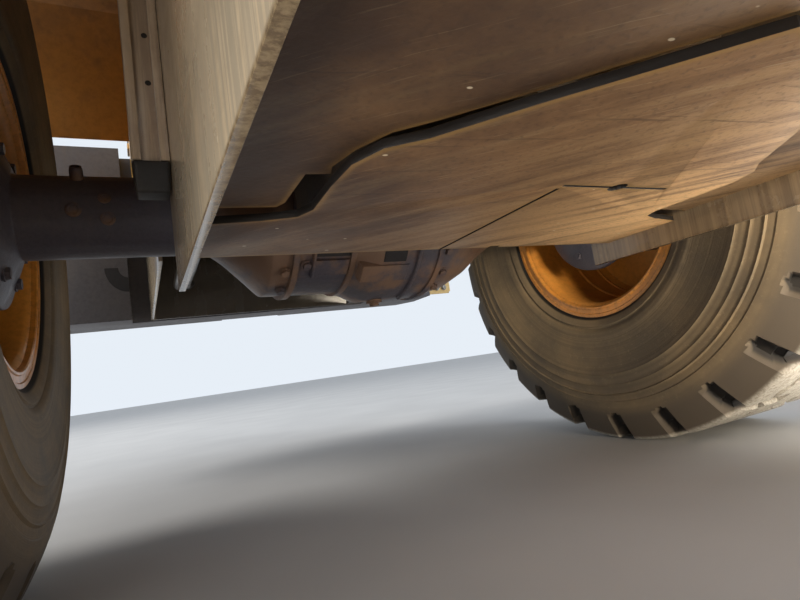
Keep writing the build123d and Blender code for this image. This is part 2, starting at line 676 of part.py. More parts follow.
# lift arms: two deep curved plates joined by a cross tube that carries the bellcrank's ears
arm_outline = [(850, 2090), (1500, 1985), (1990, 1720), (2310, 1260), (2640, 640), (2868, 330), (2850, 215),
               (2700, 190), (2620, 260), (2150, 1010), (1850, 1290), (1430, 1600), (850, 1812), (740, 1870), (740, 2030)]
with BuildPart() as lift_arms:
    for s in (-1, 1):
        with BuildSketch(side_plane(s * (arm_x - arm_t / 2))):
            with BuildLine():
                up = [at(p) for p in ((850, 2088), (1480, 1985), (2010, 1690), (2330, 1230), (2868, 330))]
                down = [at(p) for p in ((2650, 230), (2160, 1000), (1850, 1300), (1430, 1600), (850, 1812))]
                Spline(*up)
                Line(up[-1], down[0])
                Spline(*down)
                Line(down[-1], up[0])
            make_face()
            for p, r in ((arm_pivot, 138), (bucket_pin, 115)):
                with Locations(at(p)):
                    Circle(r)
        extrude(amount=s * arm_t)
        for p, r, grow in ((arm_pivot, 110, 8), (bucket_pin, 95, 8)):
            with BuildSketch(side_plane(s * (arm_x - arm_t / 2 - grow))):
                with Locations(at(p)):
                    Circle(r)
            extrude(amount=s * (arm_t + 2 * grow))
        with BuildSketch(side_plane(s * (arm_x + arm_t / 2))):
            with Locations(at(lift_eye)):
                Circle(70)
        extrude(amount=s * (lift_cyl_x - lift_eye_w / 2 - 3 - arm_x - arm_t / 2))
        for p, r in ((arm_pivot, pivot_r), (bucket_pin, pin_small)):
            with BuildSketch(side_plane(s * (arm_x - 100))):
                with Locations(at(p)):
                    Circle(r + running)
            extrude(amount=s * 200, mode=Mode.SUBTRACT)
    with BuildSketch(Plane.YZ.offset(-(arm_x - arm_t / 2))):
        with Locations(at(cross_tube)):
            Circle(cross_tube_r)
    extrude(amount=2 * arm_x - arm_t)
    for s in (-1, 1):
        with BuildSketch(side_plane(s * 95)):
            with Locations(at(cross_tube)):
                Circle(100)
            with Locations(at(crank_pivot)):
                Circle(78)
            make_hull()
            with Locations(at(crank_pivot)):
                Circle(pin_small + running, mode=Mode.SUBTRACT)
        extrude(amount=s * 28)
save(lift_arms, "lift_arms")

# bellcrank: a pair of plates on a hub, and the link from its foot to the bucket
with BuildPart() as bellcrank:
    for s in (-1, 1):
        for p, r, q, t in ((crank_pivot, 100, crank_top, 75), (crank_pivot, 100, crank_low, 80)):
            with BuildSketch(side_plane(s * 45)):
                with Locations(at(p)):
                    Circle(r)
                with Locations(at(q)):
                    Circle(t)
                make_hull()
                if q is crank_top:
                    with Locations(at(q)):
                        Circle(38, mode=Mode.SUBTRACT)
            extrude(amount=s * 30)
    for p, r, half in ((crank_pivot, 72, 88), (crank_pivot, pin_small, 130), (crank_low, 35, 82)):
        with BuildSketch(Plane.YZ.offset(-half)):
            with Locations(at(p)):
                Circle(r)
        extrude(amount=2 * half)
save(bellcrank, "bellcrank")

with BuildPart() as bucket_link:
    with BuildSketch(Plane.YZ.offset(-30)):
        for p in (crank_low, link_front):
            with Locations(at(p)):
                Circle(62)
        make_hull()
        with Locations(at(crank_low)):
            Circle(35 + running, mode=Mode.SUBTRACT)
        with Locations(at(link_front)):
            Circle(35 + running, mode=Mode.SUBTRACT)
    extrude(amount=60)
save(bucket_link, "bucket_link")

# bucket: a curved shell between side plates, with lugs for the arms and ears for the link
b_d, b_low = bucket_pin[0], bucket_clear
back_d = b_d + bucket_back
edge_d = b_d + bucket_depth
floor_r = 300.0
with BuildPart() as bucket:
    with BuildSketch(side_plane(-bucket_w / 2)):
        with BuildLine():
            floor = Line(at((edge_d, b_low)), at((back_d + floor_r, b_low)))
            heel = CenterArc(at((back_d + floor_r, b_low + floor_r)), floor_r, 270, 90)
            back = Line(at((back_d, b_low + floor_r)), at((back_d + 20, b_low + 640)))
            top = Line(at((back_d + 20, b_low + 640)), at((back_d + 190, b_low + bucket_high + 180)))
            offset(amount=bucket_t, side=Side.LEFT)
        make_face()
    extrude(amount=bucket_w)
    for s in (-1, 1):
        with BuildSketch(side_plane(s * bucket_w / 2)):
            with BuildLine():
                Line(at((edge_d, b_low)), at((back_d + floor_r, b_low)))
                CenterArc(at((back_d + floor_r, b_low + floor_r)), floor_r, 270, 90)
                Polyline(at((back_d, b_low + floor_r)), at((back_d + 20, b_low + 640)),
                         at((back_d + 190, b_low + bucket_high + 180)), at((back_d + 290, b_low + bucket_high + 160)),
                         at((back_d + 430, b_low + 560)), at((edge_d, b_low + 90)), at((edge_d, b_low)))
            make_face()
        extrude(amount=-s * bucket_t)
        for x in (arm_x - arm_t / 2 - 38, arm_x + arm_t / 2 + 13):
            with BuildSketch(side_plane(s * x)):
                with Locations(at(bucket_pin)):
                    Circle(88)
                with Locations(at((back_d + 60, 250))):
                    Circle(40)
                with Locations(at((back_d + 8, 620))):
                    Circle(30)
                make_hull()
                with Locations(at((back_d + floor_r, b_low + floor_r))):
                    Circle(floor_r - 5, mode=Mode.SUBTRACT)
            extrude(amount=s * 25)
        with BuildSketch(side_plane(s * (arm_x - arm_t / 2 - 38))):
            with Locations(at(bucket_pin)):
                Circle(pin_small)
        extrude(amount=s * (arm_t + 76))
        with BuildSketch(side_plane(s * 50)):
            with Locations(at(link_front)):
                Circle(72)
            with Locations(at((back_d + 6, 470))):
                Circle(25)
            with Locations(at((back_d + 10, 720))):
                Circle(25)
            make_hull()
            with Locations(at(link_front)):
                Circle(36, mode=Mode.SUBTRACT)
        extrude(amount=s * 30)
save(bucket, "bucket")

teeth = 8
tooth_w = 86.0
with BuildPart() as bucket_edge:
    with BuildSketch(side_plane(-bucket_w / 2)):
        Polygon(*[at(p) for p in ((edge_d + fit_gap, b_low), (edge_d + 190, b_low), (edge_d + 185, b_low + 10),
                                  (edge_d + 60, b_low + 42), (edge_d + fit_gap, b_low + 42))], align=None)
    extrude(amount=bucket_w)
    for i in range(teeth):
        x = -bucket_w / 2 + 60 + i * (bucket_w - 120 - tooth_w) / (teeth - 1)
        with BuildSketch(side_plane(x)):
            Polygon(*[at(p) for p in ((edge_d + 20, b_low + 30), (edge_d + 30, b_low + 92), (edge_d + 150, b_low + 84),
                                      (edge_d + 370, b_low + 22), (edge_d + 370, b_low + 6), (edge_d + 150, b_low + 2),
                                      (edge_d + 20, b_low + 2))], align=None)
        extrude(amount=tooth_w)
save(bucket_edge, "bucket_edge")


# hydraulic cylinders: a barrel with an eye round its base pin, and a rod that ends in an eye
def barrel_at(plane, pin_axis, r, length, bore, eye_r, eye_w, pin, start):
    with BuildPart() as made:
        with Locations(plane):
            with Locations((0, 0, start)):
                Cylinder(r, length - start, align=(Align.CENTER, Align.CENTER, Align.MIN))
            with Locations((0, 0, length - 60)):
                Cylinder(r + 12, 60, align=(Align.CENTER, Align.CENTER, Align.MIN))
        with Locations(Plane(origin=plane.origin, z_dir=pin_axis)):
            Cylinder(eye_r, eye_w)
            Cylinder(pin + running, eye_w + 2, mode=Mode.SUBTRACT)
        with Locations(plane):
            with Locations((0, 0, start + 35)):
                Cylinder(bore + running, length, align=(Align.CENTER, Align.CENTER, Align.MIN), mode=Mode.SUBTRACT)
    return made


def rod_at(plane, pin_axis, r, inner, reach, eye_r, eye_w, hole):
    with BuildPart() as made:
        with Locations(plane):
            with Locations((0, 0, inner)):
                Cylinder(r, reach - inner - hole - 8, align=(Align.CENTER, Align.CENTER, Align.MIN))
        with Locations(Plane(origin=plane.origin + plane.z_dir * reach, z_dir=pin_axis)):
            Cylinder(eye_r, eye_w)
            Cylinder(hole, eye_w + 2, mode=Mode.SUBTRACT)
    return made


across = (1, 0, 0)
lift_len = hypot(lift_base[0] - lift_eye[0], lift_base[1] - lift_eye[1])
tilt_len = hypot(arm_pivot[0] - crank_top[0], arm_pivot[1] - crank_top[1])
with BuildPart() as lift_barrels:
    for s in (-1, 1):
        add(barrel_at(line_frame(s * lift_cyl_x, at(lift_base), at(lift_eye)), across, 68, lift_len - 150, 40, 68, lift_eye_w,
                      pin_small, 58).part)
with BuildPart() as lift_rods:
    for s in (-1, 1):
        add(rod_at(line_frame(s * lift_cyl_x, at(lift_base), at(lift_eye)), across, 40, 120, lift_len, 66, lift_eye_w, 36).part)
tilt_line = line_frame(0, at(arm_pivot), at(crank_top))
tilt_barrel = barrel_at(tilt_line, across, 80, tilt_len - 220, 45, 92, 120, pivot_r, 78)
tilt_rod = rod_at(tilt_line, across, 45, 240, tilt_len, 70, 60, 38)
for builder, name in ((lift_barrels, "lift_barrels"), (lift_rods, "lift_rods"), (tilt_barrel, "tilt_barrel"),
                      (tilt_rod, "tilt_rod")):
    save(builder, name)

for s, name in ((1, "left"), (-1, "right")):
    base = Vector(s * steer_base[0], hinge_y + steer_base[1], steer_z - 0.0)
    eye = Vector(s * steer_eye[0], hinge_y + steer_eye[1], steer_z - 0.0)
    steer_len = (eye - base).length
    line = Plane(origin=base, x_dir=(0, 0, 1), z_dir=(eye - base).normalized())
    barrel = barrel_at(line, (0, 0, 1), 48, steer_len - 290, 26, 44, 98, steer_pin, 38)
    rod = rod_at(line, (0, 0, 1), 26, 330, steer_len, 42, 56, 24)
    save(barrel, "steer_barrel_" + name)
    save(rod, "steer_rod_" + name)
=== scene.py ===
import bpy
import bmesh
import math
from mathutils import Matrix, Vector


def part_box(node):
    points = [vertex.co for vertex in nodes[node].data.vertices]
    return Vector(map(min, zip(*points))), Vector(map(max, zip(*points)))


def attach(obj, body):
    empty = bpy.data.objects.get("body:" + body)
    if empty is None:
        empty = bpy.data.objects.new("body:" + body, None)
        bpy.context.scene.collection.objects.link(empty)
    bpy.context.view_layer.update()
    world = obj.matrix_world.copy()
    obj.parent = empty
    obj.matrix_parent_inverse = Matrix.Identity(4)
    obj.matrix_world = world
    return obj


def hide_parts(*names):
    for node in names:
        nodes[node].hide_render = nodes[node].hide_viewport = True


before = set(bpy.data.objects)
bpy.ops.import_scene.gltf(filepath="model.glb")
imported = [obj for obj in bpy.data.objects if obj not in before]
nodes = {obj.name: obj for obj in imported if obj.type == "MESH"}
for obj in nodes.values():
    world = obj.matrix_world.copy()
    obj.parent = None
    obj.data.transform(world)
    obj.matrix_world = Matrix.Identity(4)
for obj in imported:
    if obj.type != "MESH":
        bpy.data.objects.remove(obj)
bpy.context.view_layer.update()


# The viewpoint: low under the machine, beside the frame plate and ahead of the rear axle,
# looking back past the plate with the machine tilted a little in the picture.
low_view = bpy.data.objects.new("low_view", bpy.data.cameras.new("low_view"))
low_view.data.lens = 23.6
low_view.data.sensor_width = 36.0
low_view.data.clip_start = 0.02
low_view.data.clip_end = 400.0
low_view.matrix_world = (
    Matrix.Translation((-0.601, 0.685, 0.359))
    @ Matrix.Rotation(math.radians(-27.13), 4, "Z")
    @ Matrix.Rotation(math.radians(96.93), 4, "X")
    @ Matrix.Rotation(math.radians(-8.36), 4, "Z")
)
bpy.context.scene.collection.objects.link(low_view)
bpy.context.scene.camera = low_view
bpy.context.scene.view_settings.view_transform = "Standard"


# The studio: a pale floor that keeps the machine's shadow, a pale surround, and large soft lamps
# round the machine, with two boards of light on the floor beside it that shine up under the belly.
def lamp(name, place, target, size, watts, colour, spread=180):
    light = bpy.data.lights.new(name, "AREA")
    light.shape = "DISK"
    light.size = size
    light.energy = watts
    light.color = colour
    light.spread = math.radians(spread)
    made = bpy.data.objects.new(name, light)
    made.location = place
    made.rotation_euler = (Vector(target) - Vector(place)).to_track_quat("-Z", "Y").to_euler()
    bpy.context.scene.collection.objects.link(made)


lamp("key_lamp", (-9.0, 7.5, 8.0), (0.0, 1.0, 1.0), 6.0, 900.0, (1.0, 0.96, 0.9))
lamp("fill_lamp", (9.0, -7.0, 7.0), (0.0, 0.0, 1.2), 7.0, 680.0, (0.92, 0.96, 1.0))
lamp("front_lamp", (-7.0, -9.0, 5.0), (0.0, -1.0, 1.0), 6.0, 430.0, (1.0, 0.98, 0.95))
lamp("near_board", (-2.1, 0.9, 0.03), (-2.1, 0.9, 1.0), 2.2, 58.0, (1.0, 0.96, 0.91))
lamp("far_board", (1.9, 0.5, 0.03), (1.9, 0.5, 1.0), 2.4, 58.0, (1.0, 0.93, 0.84))
lamp("tyre_lamp", (0.25, -1.0, 0.40), (0.98, 1.15, 0.80), 0.7, 15.0, (1.0, 0.88, 0.70), spread=48)

surround = bpy.data.worlds.new("pale_surround")
bpy.context.scene.world = surround
surround.use_nodes = True
sky = surround.node_tree
sky.nodes.clear()
sky_out = sky.nodes.new("ShaderNodeOutputWorld")
rays = sky.nodes.new("ShaderNodeLightPath")
seen = sky.nodes.new("ShaderNodeMath")
seen.operation = "MAXIMUM"
sky.links.new(rays.outputs["Is Camera Ray"], seen.inputs[0])
sky.links.new(rays.outputs["Is Glossy Ray"], seen.inputs[1])
through = sky.nodes.new("ShaderNodeMath")
through.operation = "MAXIMUM"
sky.links.new(seen.outputs[0], through.inputs[0])
sky.links.new(rays.outputs["Is Transmission Ray"], through.inputs[1])
plain = sky.nodes.new("ShaderNodeBackground")
plain.inputs["Color"].default_value = (0.80, 0.86, 0.93, 1.0)
plain.inputs["Strength"].default_value = 1.0
soft = sky.nodes.new("ShaderNodeBackground")
soft.inputs["Color"].default_value = (0.86, 0.92, 1.0, 1.0)
soft.inputs["Strength"].default_value = 0.62
pick = sky.nodes.new("ShaderNodeMixShader")
sky.links.new(through.outputs[0], pick.inputs[0])
sky.links.new(soft.outputs[0], pick.inputs[1])
sky.links.new(plain.outputs[0], pick.inputs[2])
sky.links.new(pick.outputs[0], sky_out.inputs["Surface"])

floor_mesh = bpy.data.meshes.new("pale_floor")
floor_mesh.from_pydata([(-70, -70, 0), (70, -70, 0), (70, 70, 0), (-70, 70, 0)], [], [(0, 1, 2, 3)])
pale_floor = bpy.data.objects.new("pale_floor", floor_mesh)
bpy.context.scene.collection.objects.link(pale_floor)
floor_finish = bpy.data.materials.new("pale_concrete")
floor_finish.use_nodes = True
floor_tree = floor_finish.node_tree
floor_grain = floor_tree.nodes.new("ShaderNodeTexNoise")
floor_grain.inputs["Scale"].default_value = 260.0
floor_ramp = floor_tree.nodes.new("ShaderNodeValToRGB")
floor_ramp.color_ramp.elements[0].color = (0.52, 0.52, 0.52, 1)
floor_ramp.color_ramp.elements[1].color = (0.66, 0.66, 0.655, 1)
floor_tree.links.new(floor_grain.outputs["Fac"], floor_ramp.inputs["Fac"])
floor_tree.links.new(floor_ramp.outputs["Color"], floor_tree.nodes["Principled BSDF"].inputs["Base Color"])
floor_tree.nodes["Principled BSDF"].inputs["Roughness"].default_value = 0.85
floor_mesh.materials.append(floor_finish)


# Rear frame: two deep side plates with cross plates and the hitch lugs, flame-cut from thick steel,
# welded together and painted pale yellow. The lower edges are rubbed, and mud has run down the plates.
def add_node(tree, kind, inputs=None, **settings):
    made = tree.nodes.new("ShaderNode" + kind)
    for key, value in settings.items():
        setattr(made, key, value)
    for key, value in (inputs or {}).items():
        if isinstance(value, bpy.types.NodeSocket):
            tree.links.new(value, made.inputs[key])
        else:
            made.inputs[key].default_value = value
    return made


def blend_colour(tree, amount, first, second, mode="MIX"):
    made = add_node(tree, "Mix", {0: amount, 6: first, 7: second}, data_type="RGBA", blend_type=mode)
    return made.outputs[2]


def band(tree, value, low, high):
    made = add_node(tree, "MapRange", {"Value": value, "From Min": low, "From Max": high},
                    interpolation_type="SMOOTHSTEP")
    return made.outputs[0]


def times(tree, first, second, how="MULTIPLY"):
    return add_node(tree, "Math", {0: first, 1: second}, operation=how, use_clamp=how != "MULTIPLY").outputs[0]


def noise(tree, vector, scale, detail, roughness=0.5):
    made = add_node(tree, "TexNoise", {"Vector": vector, "Scale": scale, "Detail": detail, "Roughness": roughness})
    return made.outputs["Fac"]


def new_group(name, sockets_in, sockets_out):
    group = bpy.data.node_groups.new(name, "ShaderNodeTree")
    for label, kind in sockets_in:
        group.interface.new_socket(label, in_out="INPUT", socket_type="NodeSocket" + kind)
    for label, kind in sockets_out:
        group.interface.new_socket(label, in_out="OUTPUT", socket_type="NodeSocket" + kind)
    return group, group.nodes.new("NodeGroupInput").outputs, group.nodes.new("NodeGroupOutput").inputs


def rgb(red, green, blue):
    """A paint-chart colour, 0 to 255, as the linear colour a socket takes."""
    return tuple(((c / 255 + 0.055) / 1.055) ** 2.4 if c > 10 else c / 3294.6 for c in (red, green, blue)) + (1.0,)


# field wear for painted steel: clouds of dust, mud runs, chipped edges and a fine orange peel
field_wear, given, result = new_group(
    "field_wear",
    [("Paint", "Color"), ("Dust", "Color"), ("Bare", "Color"), ("Scale", "Float"), ("Dust Amount", "Float"),
     ("Runs", "Float"), ("Chips", "Float"), ("Gloss", "Float")],
    [("Colour", "Color"), ("Roughness", "Float"), ("Height", "Float"), ("Metal", "Float")])
where = add_node(field_wear, "TexCoord").outputs["Object"]
clouds = add_node(field_wear, "TexNoise", {"Vector": where, "Scale": given["Scale"], "Detail": 9.0, "Roughness": 0.66})
fine_scale = times(field_wear, given["Scale"], 24.0)
specks = add_node(field_wear, "TexNoise", {"Vector": where, "Scale": fine_scale, "Detail": 5.0, "Roughness": 0.7})
tall = add_node(field_wear, "Mapping", {"Vector": where, "Scale": (11.0, 11.0, 0.75)})
runs = add_node(field_wear, "TexNoise", {"Vector": tall.outputs[0], "Scale": given["Scale"], "Detail": 6.0})
round_normal = add_node(field_wear, "Bevel", {"Radius": 0.012}, samples=4).outputs[0]
true_normal = add_node(field_wear, "NewGeometry").outputs["Normal"]
facing = add_node(field_wear, "VectorMath", {0: round_normal, 1: true_normal},
                  operation="DOT_PRODUCT").outputs["Value"]
edge = band(field_wear, facing, 0.992, 0.90)
chips = times(field_wear, times(field_wear, edge, band(field_wear, specks.outputs["Fac"], 0.46, 0.58)),
              given["Chips"])
dusty = times(field_wear, band(field_wear, clouds.outputs["Fac"], 0.42, 0.72), given["Dust Amount"])
run_mask = times(field_wear, times(field_wear, band(field_wear, runs.outputs["Fac"], 0.5, 0.68), given["Runs"]),
                 band(field_wear, clouds.outputs["Fac"], 0.35, 0.6))
shaded = blend_colour(field_wear, times(field_wear, band(field_wear, specks.outputs["Fac"], 0.35, 0.75), 0.22),
                      given["Paint"], (0.0, 0.0, 0.0, 1.0))
shaded = blend_colour(field_wear, dusty, shaded, given["Dust"])
shaded = blend_colour(field_wear, run_mask, shaded, given["Dust"])
shaded = blend_colour(field_wear, chips, shaded, given["Bare"])
field_wear.links.new(shaded, result["Colour"])
matt = times(field_wear, times(field_wear, dusty, run_mask, "ADD"), 0.45)
field_wear.links.new(times(field_wear, times(field_wear, given["Gloss"], matt, "ADD"),
                           times(field_wear, specks.outputs["Fac"], 0.10), "ADD"), result["Roughness"])
field_wear.links.new(times(field_wear, specks.outputs["Fac"], times(field_wear, dusty, 0.3, "ADD")), result["Height"])
field_wear.links.new(times(field_wear, chips, 0.8), result["Metal"])


def blank_finish(name):
    """A new material, with its node tree and its shader."""
    made = bpy.data.materials.new(name)
    made.use_nodes = True
    return made, made.node_tree, made.node_tree.nodes["Principled BSDF"]


def worn_steel(name, paint, dust=rgb(150, 132, 106), bare=rgb(92, 76, 62), scale=1.6, dust_amount=0.4, runs=0.35,
               chips=0.8, gloss=0.3, relief=0.15, coat=0.25):
    """Painted steel after some seasons of work."""
    made, tree, shader = blank_finish(name)
    wear = tree.nodes.new("ShaderNodeGroup")
    wear.node_tree = field_wear
    for key, value in (("Paint", paint), ("Dust", dust), ("Bare", bare), ("Scale", scale), ("Dust Amount", dust_amount),
                       ("Runs", runs), ("Chips", chips), ("Gloss", gloss)):
        wear.inputs[key].default_value = value
    tree.links.new(wear.outputs["Colour"], shader.inputs["Base Color"])
    tree.links.new(wear.outputs["Roughness"], shader.inputs["Roughness"])
    tree.links.new(wear.outputs["Metal"], shader.inputs["Metallic"])
    shader.inputs["Coat Weight"].default_value = coat
    shader.inputs["Coat Roughness"].default_value = 0.12
    bump = add_node(tree, "Bump", {"Height": wear.outputs["Height"], "Strength": relief, "Distance": 0.004})
    tree.links.new(bump.outputs[0], shader.inputs["Normal"])
    return made


def dress(node, material, rounding=0.004):
    """A CAD solid keeps its shape, gets its finish, and its sharp edges are broken as a grinder leaves them."""
    solid = nodes[node]
    solid.data.materials.clear()
    solid.data.materials.append(material)
    solid.data.polygons.foreach_set("use_smooth", [True] * len(solid.data.polygons))
    join = solid.modifiers.new("join", "WELD")
    join.merge_threshold = 0.00002
    flat = solid.modifiers.new("flat", "DECIMATE")
    flat.decimate_type = "DISSOLVE"
    flat.angle_limit = math.radians(0.8)
    if rounding:
        broken = solid.modifiers.new("broken_edges", "BEVEL")
        broken.width = rounding
        broken.segments = 2
        broken.limit_method = "ANGLE"
        broken.angle_limit = math.radians(32)
        broken.harden_normals = True
    return solid


cream_paint = worn_steel("cream_paint", rgb(190, 172, 144), dust=rgb(140, 120, 98), bare=rgb(124, 108, 88), scale=1.1,
                         dust_amount=0.35, runs=0.35, chips=0.45, gloss=0.14, relief=0.06, coat=0.7)
paint_tree = cream_paint.node_tree
paint_shader = paint_tree.nodes["Principled BSDF"]
paint_spot = add_node(paint_tree, "TexCoord").outputs["Object"]
paint_at = add_node(paint_tree, "SeparateXYZ", {0: paint_spot})
brushed = add_node(paint_tree, "Mapping", {"Vector": paint_spot, "Scale": (0.02, 0.012, 0.5)},
                   vector_type="TEXTURE").outputs[0]
scuffs = noise(paint_tree, brushed, 1.0, 6.0, 0.7)
worn_low = times(paint_tree, band(paint_tree, paint_at.outputs["Z"], 0.80, 0.60),
                 band(paint_tree, scuffs, 0.36, 0.56))
under = band(paint_tree, paint_at.outputs["Z"], 0.552, 0.546)
far_side = times(paint_tree, band(paint_tree, paint_at.outputs["X"], 0.0, 0.2),
                 band(paint_tree, paint_at.outputs["Z"], 0.72, 0.60))
first_coat = paint_shader.inputs["Base Color"].links[0].from_socket
coated = blend_colour(paint_tree, times(paint_tree, worn_low, 0.75), first_coat, rgb(150, 140, 122))
coated = blend_colour(paint_tree, times(paint_tree, under, 0.9), coated,
                      blend_colour(paint_tree, band(paint_tree, scuffs, 0.40, 0.60), rgb(100, 82, 60), rgb(144, 124, 94)))
coated = blend_colour(paint_tree, times(paint_tree, far_side, 0.85), coated,
                      blend_colour(paint_tree, band(paint_tree, scuffs, 0.35, 0.65), rgb(86, 68, 50), rgb(132, 110, 82)))
# painted shade: aft of y 3.05 m and right of the -X side plate the paint goes near black-brown, the shade of the cavity
# behind the axle
rear_plate_painted_shade = times(paint_tree, band(paint_tree, paint_at.outputs["Y"], 3.0, 3.1),
                   band(paint_tree, paint_at.outputs["X"], -0.52, -0.50))
off_centre = add_node(paint_tree, "Math", {0: paint_at.outputs["X"]}, operation="ABSOLUTE").outputs[0]
bracket = band(paint_tree, off_centre, 0.527, 0.529)
coated = blend_colour(paint_tree, times(paint_tree, bracket, 0.78), coated,
                      blend_colour(paint_tree, band(paint_tree, scuffs, 0.40, 0.60), rgb(130, 108, 88), rgb(170, 148, 122)))
coated = blend_colour(paint_tree, times(paint_tree, rear_plate_painted_shade, 0.9), coated, rgb(48, 43, 38))
paint_tree.links.new(coated, paint_shader.inputs["Base Color"])
dress("rear_frame", cream_paint, 0.002)

# Fixing holes: two drilled down each ridged bracket and left open, with a burred
# rim where the drill came through. Their dark insides are painted shade on flat discs.
def settle(mesh, name, body, material, crease=None, place=(0, 0, 0)):
    """A shaped mesh becomes a piece on a body, smooth between its sharper edges when a crease angle is given."""
    data = bpy.data.meshes.new(name)
    mesh.to_mesh(data)
    mesh.free()
    if crease:
        data.polygons.foreach_set("use_smooth", [True] * len(data.polygons))
        data.set_sharp_from_angle(angle=math.radians(crease))
    data.materials.append(material)
    made = bpy.data.objects.new(name, data)
    made.location = place
    bpy.context.scene.collection.objects.link(made)
    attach(made, body)
    return made


def round_mark(name, places, size, body, material, facing):
    """Small open holes drawn as flat discs of painted shade, with a burred rim."""
    mesh = bmesh.new()
    turn = Vector((0, 0, 1)).rotation_difference(Vector(facing)).to_matrix()
    for place in places:
        rings = []
        for r, lift in ((0.0, 0.0002), (size * 0.86, 0.0002), (size, 0.0009), (size * 1.16, 0.0009),
                        (size * 1.3, 0.0001)):
            rings.append([mesh.verts.new(turn @ Vector((r * math.cos(a), r * math.sin(a), lift)) + Vector(place))
                          for a in [2 * math.pi * k / 16 for k in range(16)]] if r else
                         [mesh.verts.new(turn @ Vector((0, 0, lift)) + Vector(place))])
        for k in range(16):
            mesh.faces.new((rings[0][0], rings[1][k], rings[1][(k + 1) % 16]))
        for a, b in zip(rings[1:], rings[2:]):
            for k in range(16):
                mesh.faces.new((a[k], b[k], b[(k + 1) % 16], a[(k + 1) % 16]))
    bmesh.ops.recalc_face_normals(mesh, faces=mesh.faces)
    return settle(mesh, name, body, material)


painted_hole_shade = worn_steel("painted_hole_shade", rgb(20, 18, 17), dust=rgb(60, 48, 36), scale=20.0,
                        dust_amount=0.5, runs=0.0, chips=0.3, gloss=0.7, coat=0.0)
for side, label in ((-1, "right"), (1, "left")):
    round_mark("bracket_hole_shades_" + label, [(side * 0.549, 1.6115, 0.989), (side * 0.5495, 1.6115, 0.900)], 0.0038,
               "chassis", painted_hole_shade, (0, -1, 0))

# Hitch pins: two turned steel pins with a bolted cap, pressed through the lugs and ears of the hitch.
# They are ground bright, and dust sticks to their grease.
turned_steel = worn_steel("turned_steel", rgb(150, 146, 140), dust=rgb(96, 82, 66), bare=rgb(190, 188, 184),
                          scale=3.0, dust_amount=0.5, gloss=0.34)
turned_steel.node_tree.nodes["Principled BSDF"].inputs["Coat Weight"].default_value = 0.0
dress("hitch_pins", turned_steel, 0.003)

# Bump stops: moulded black rubber blocks bonded under the ridged brackets beside the side plates,
# where the axle's arm meets them.
stop_rubber = worn_steel("stop_rubber", rgb(30, 28, 27), dust=rgb(92, 82, 70), bare=rgb(44, 40, 38), scale=5.0,
                         dust_amount=0.45, runs=0.1, chips=0.4, gloss=0.55, relief=0.4, coat=0.0)
dress("bump_stops", stop_rubber, 0.006)
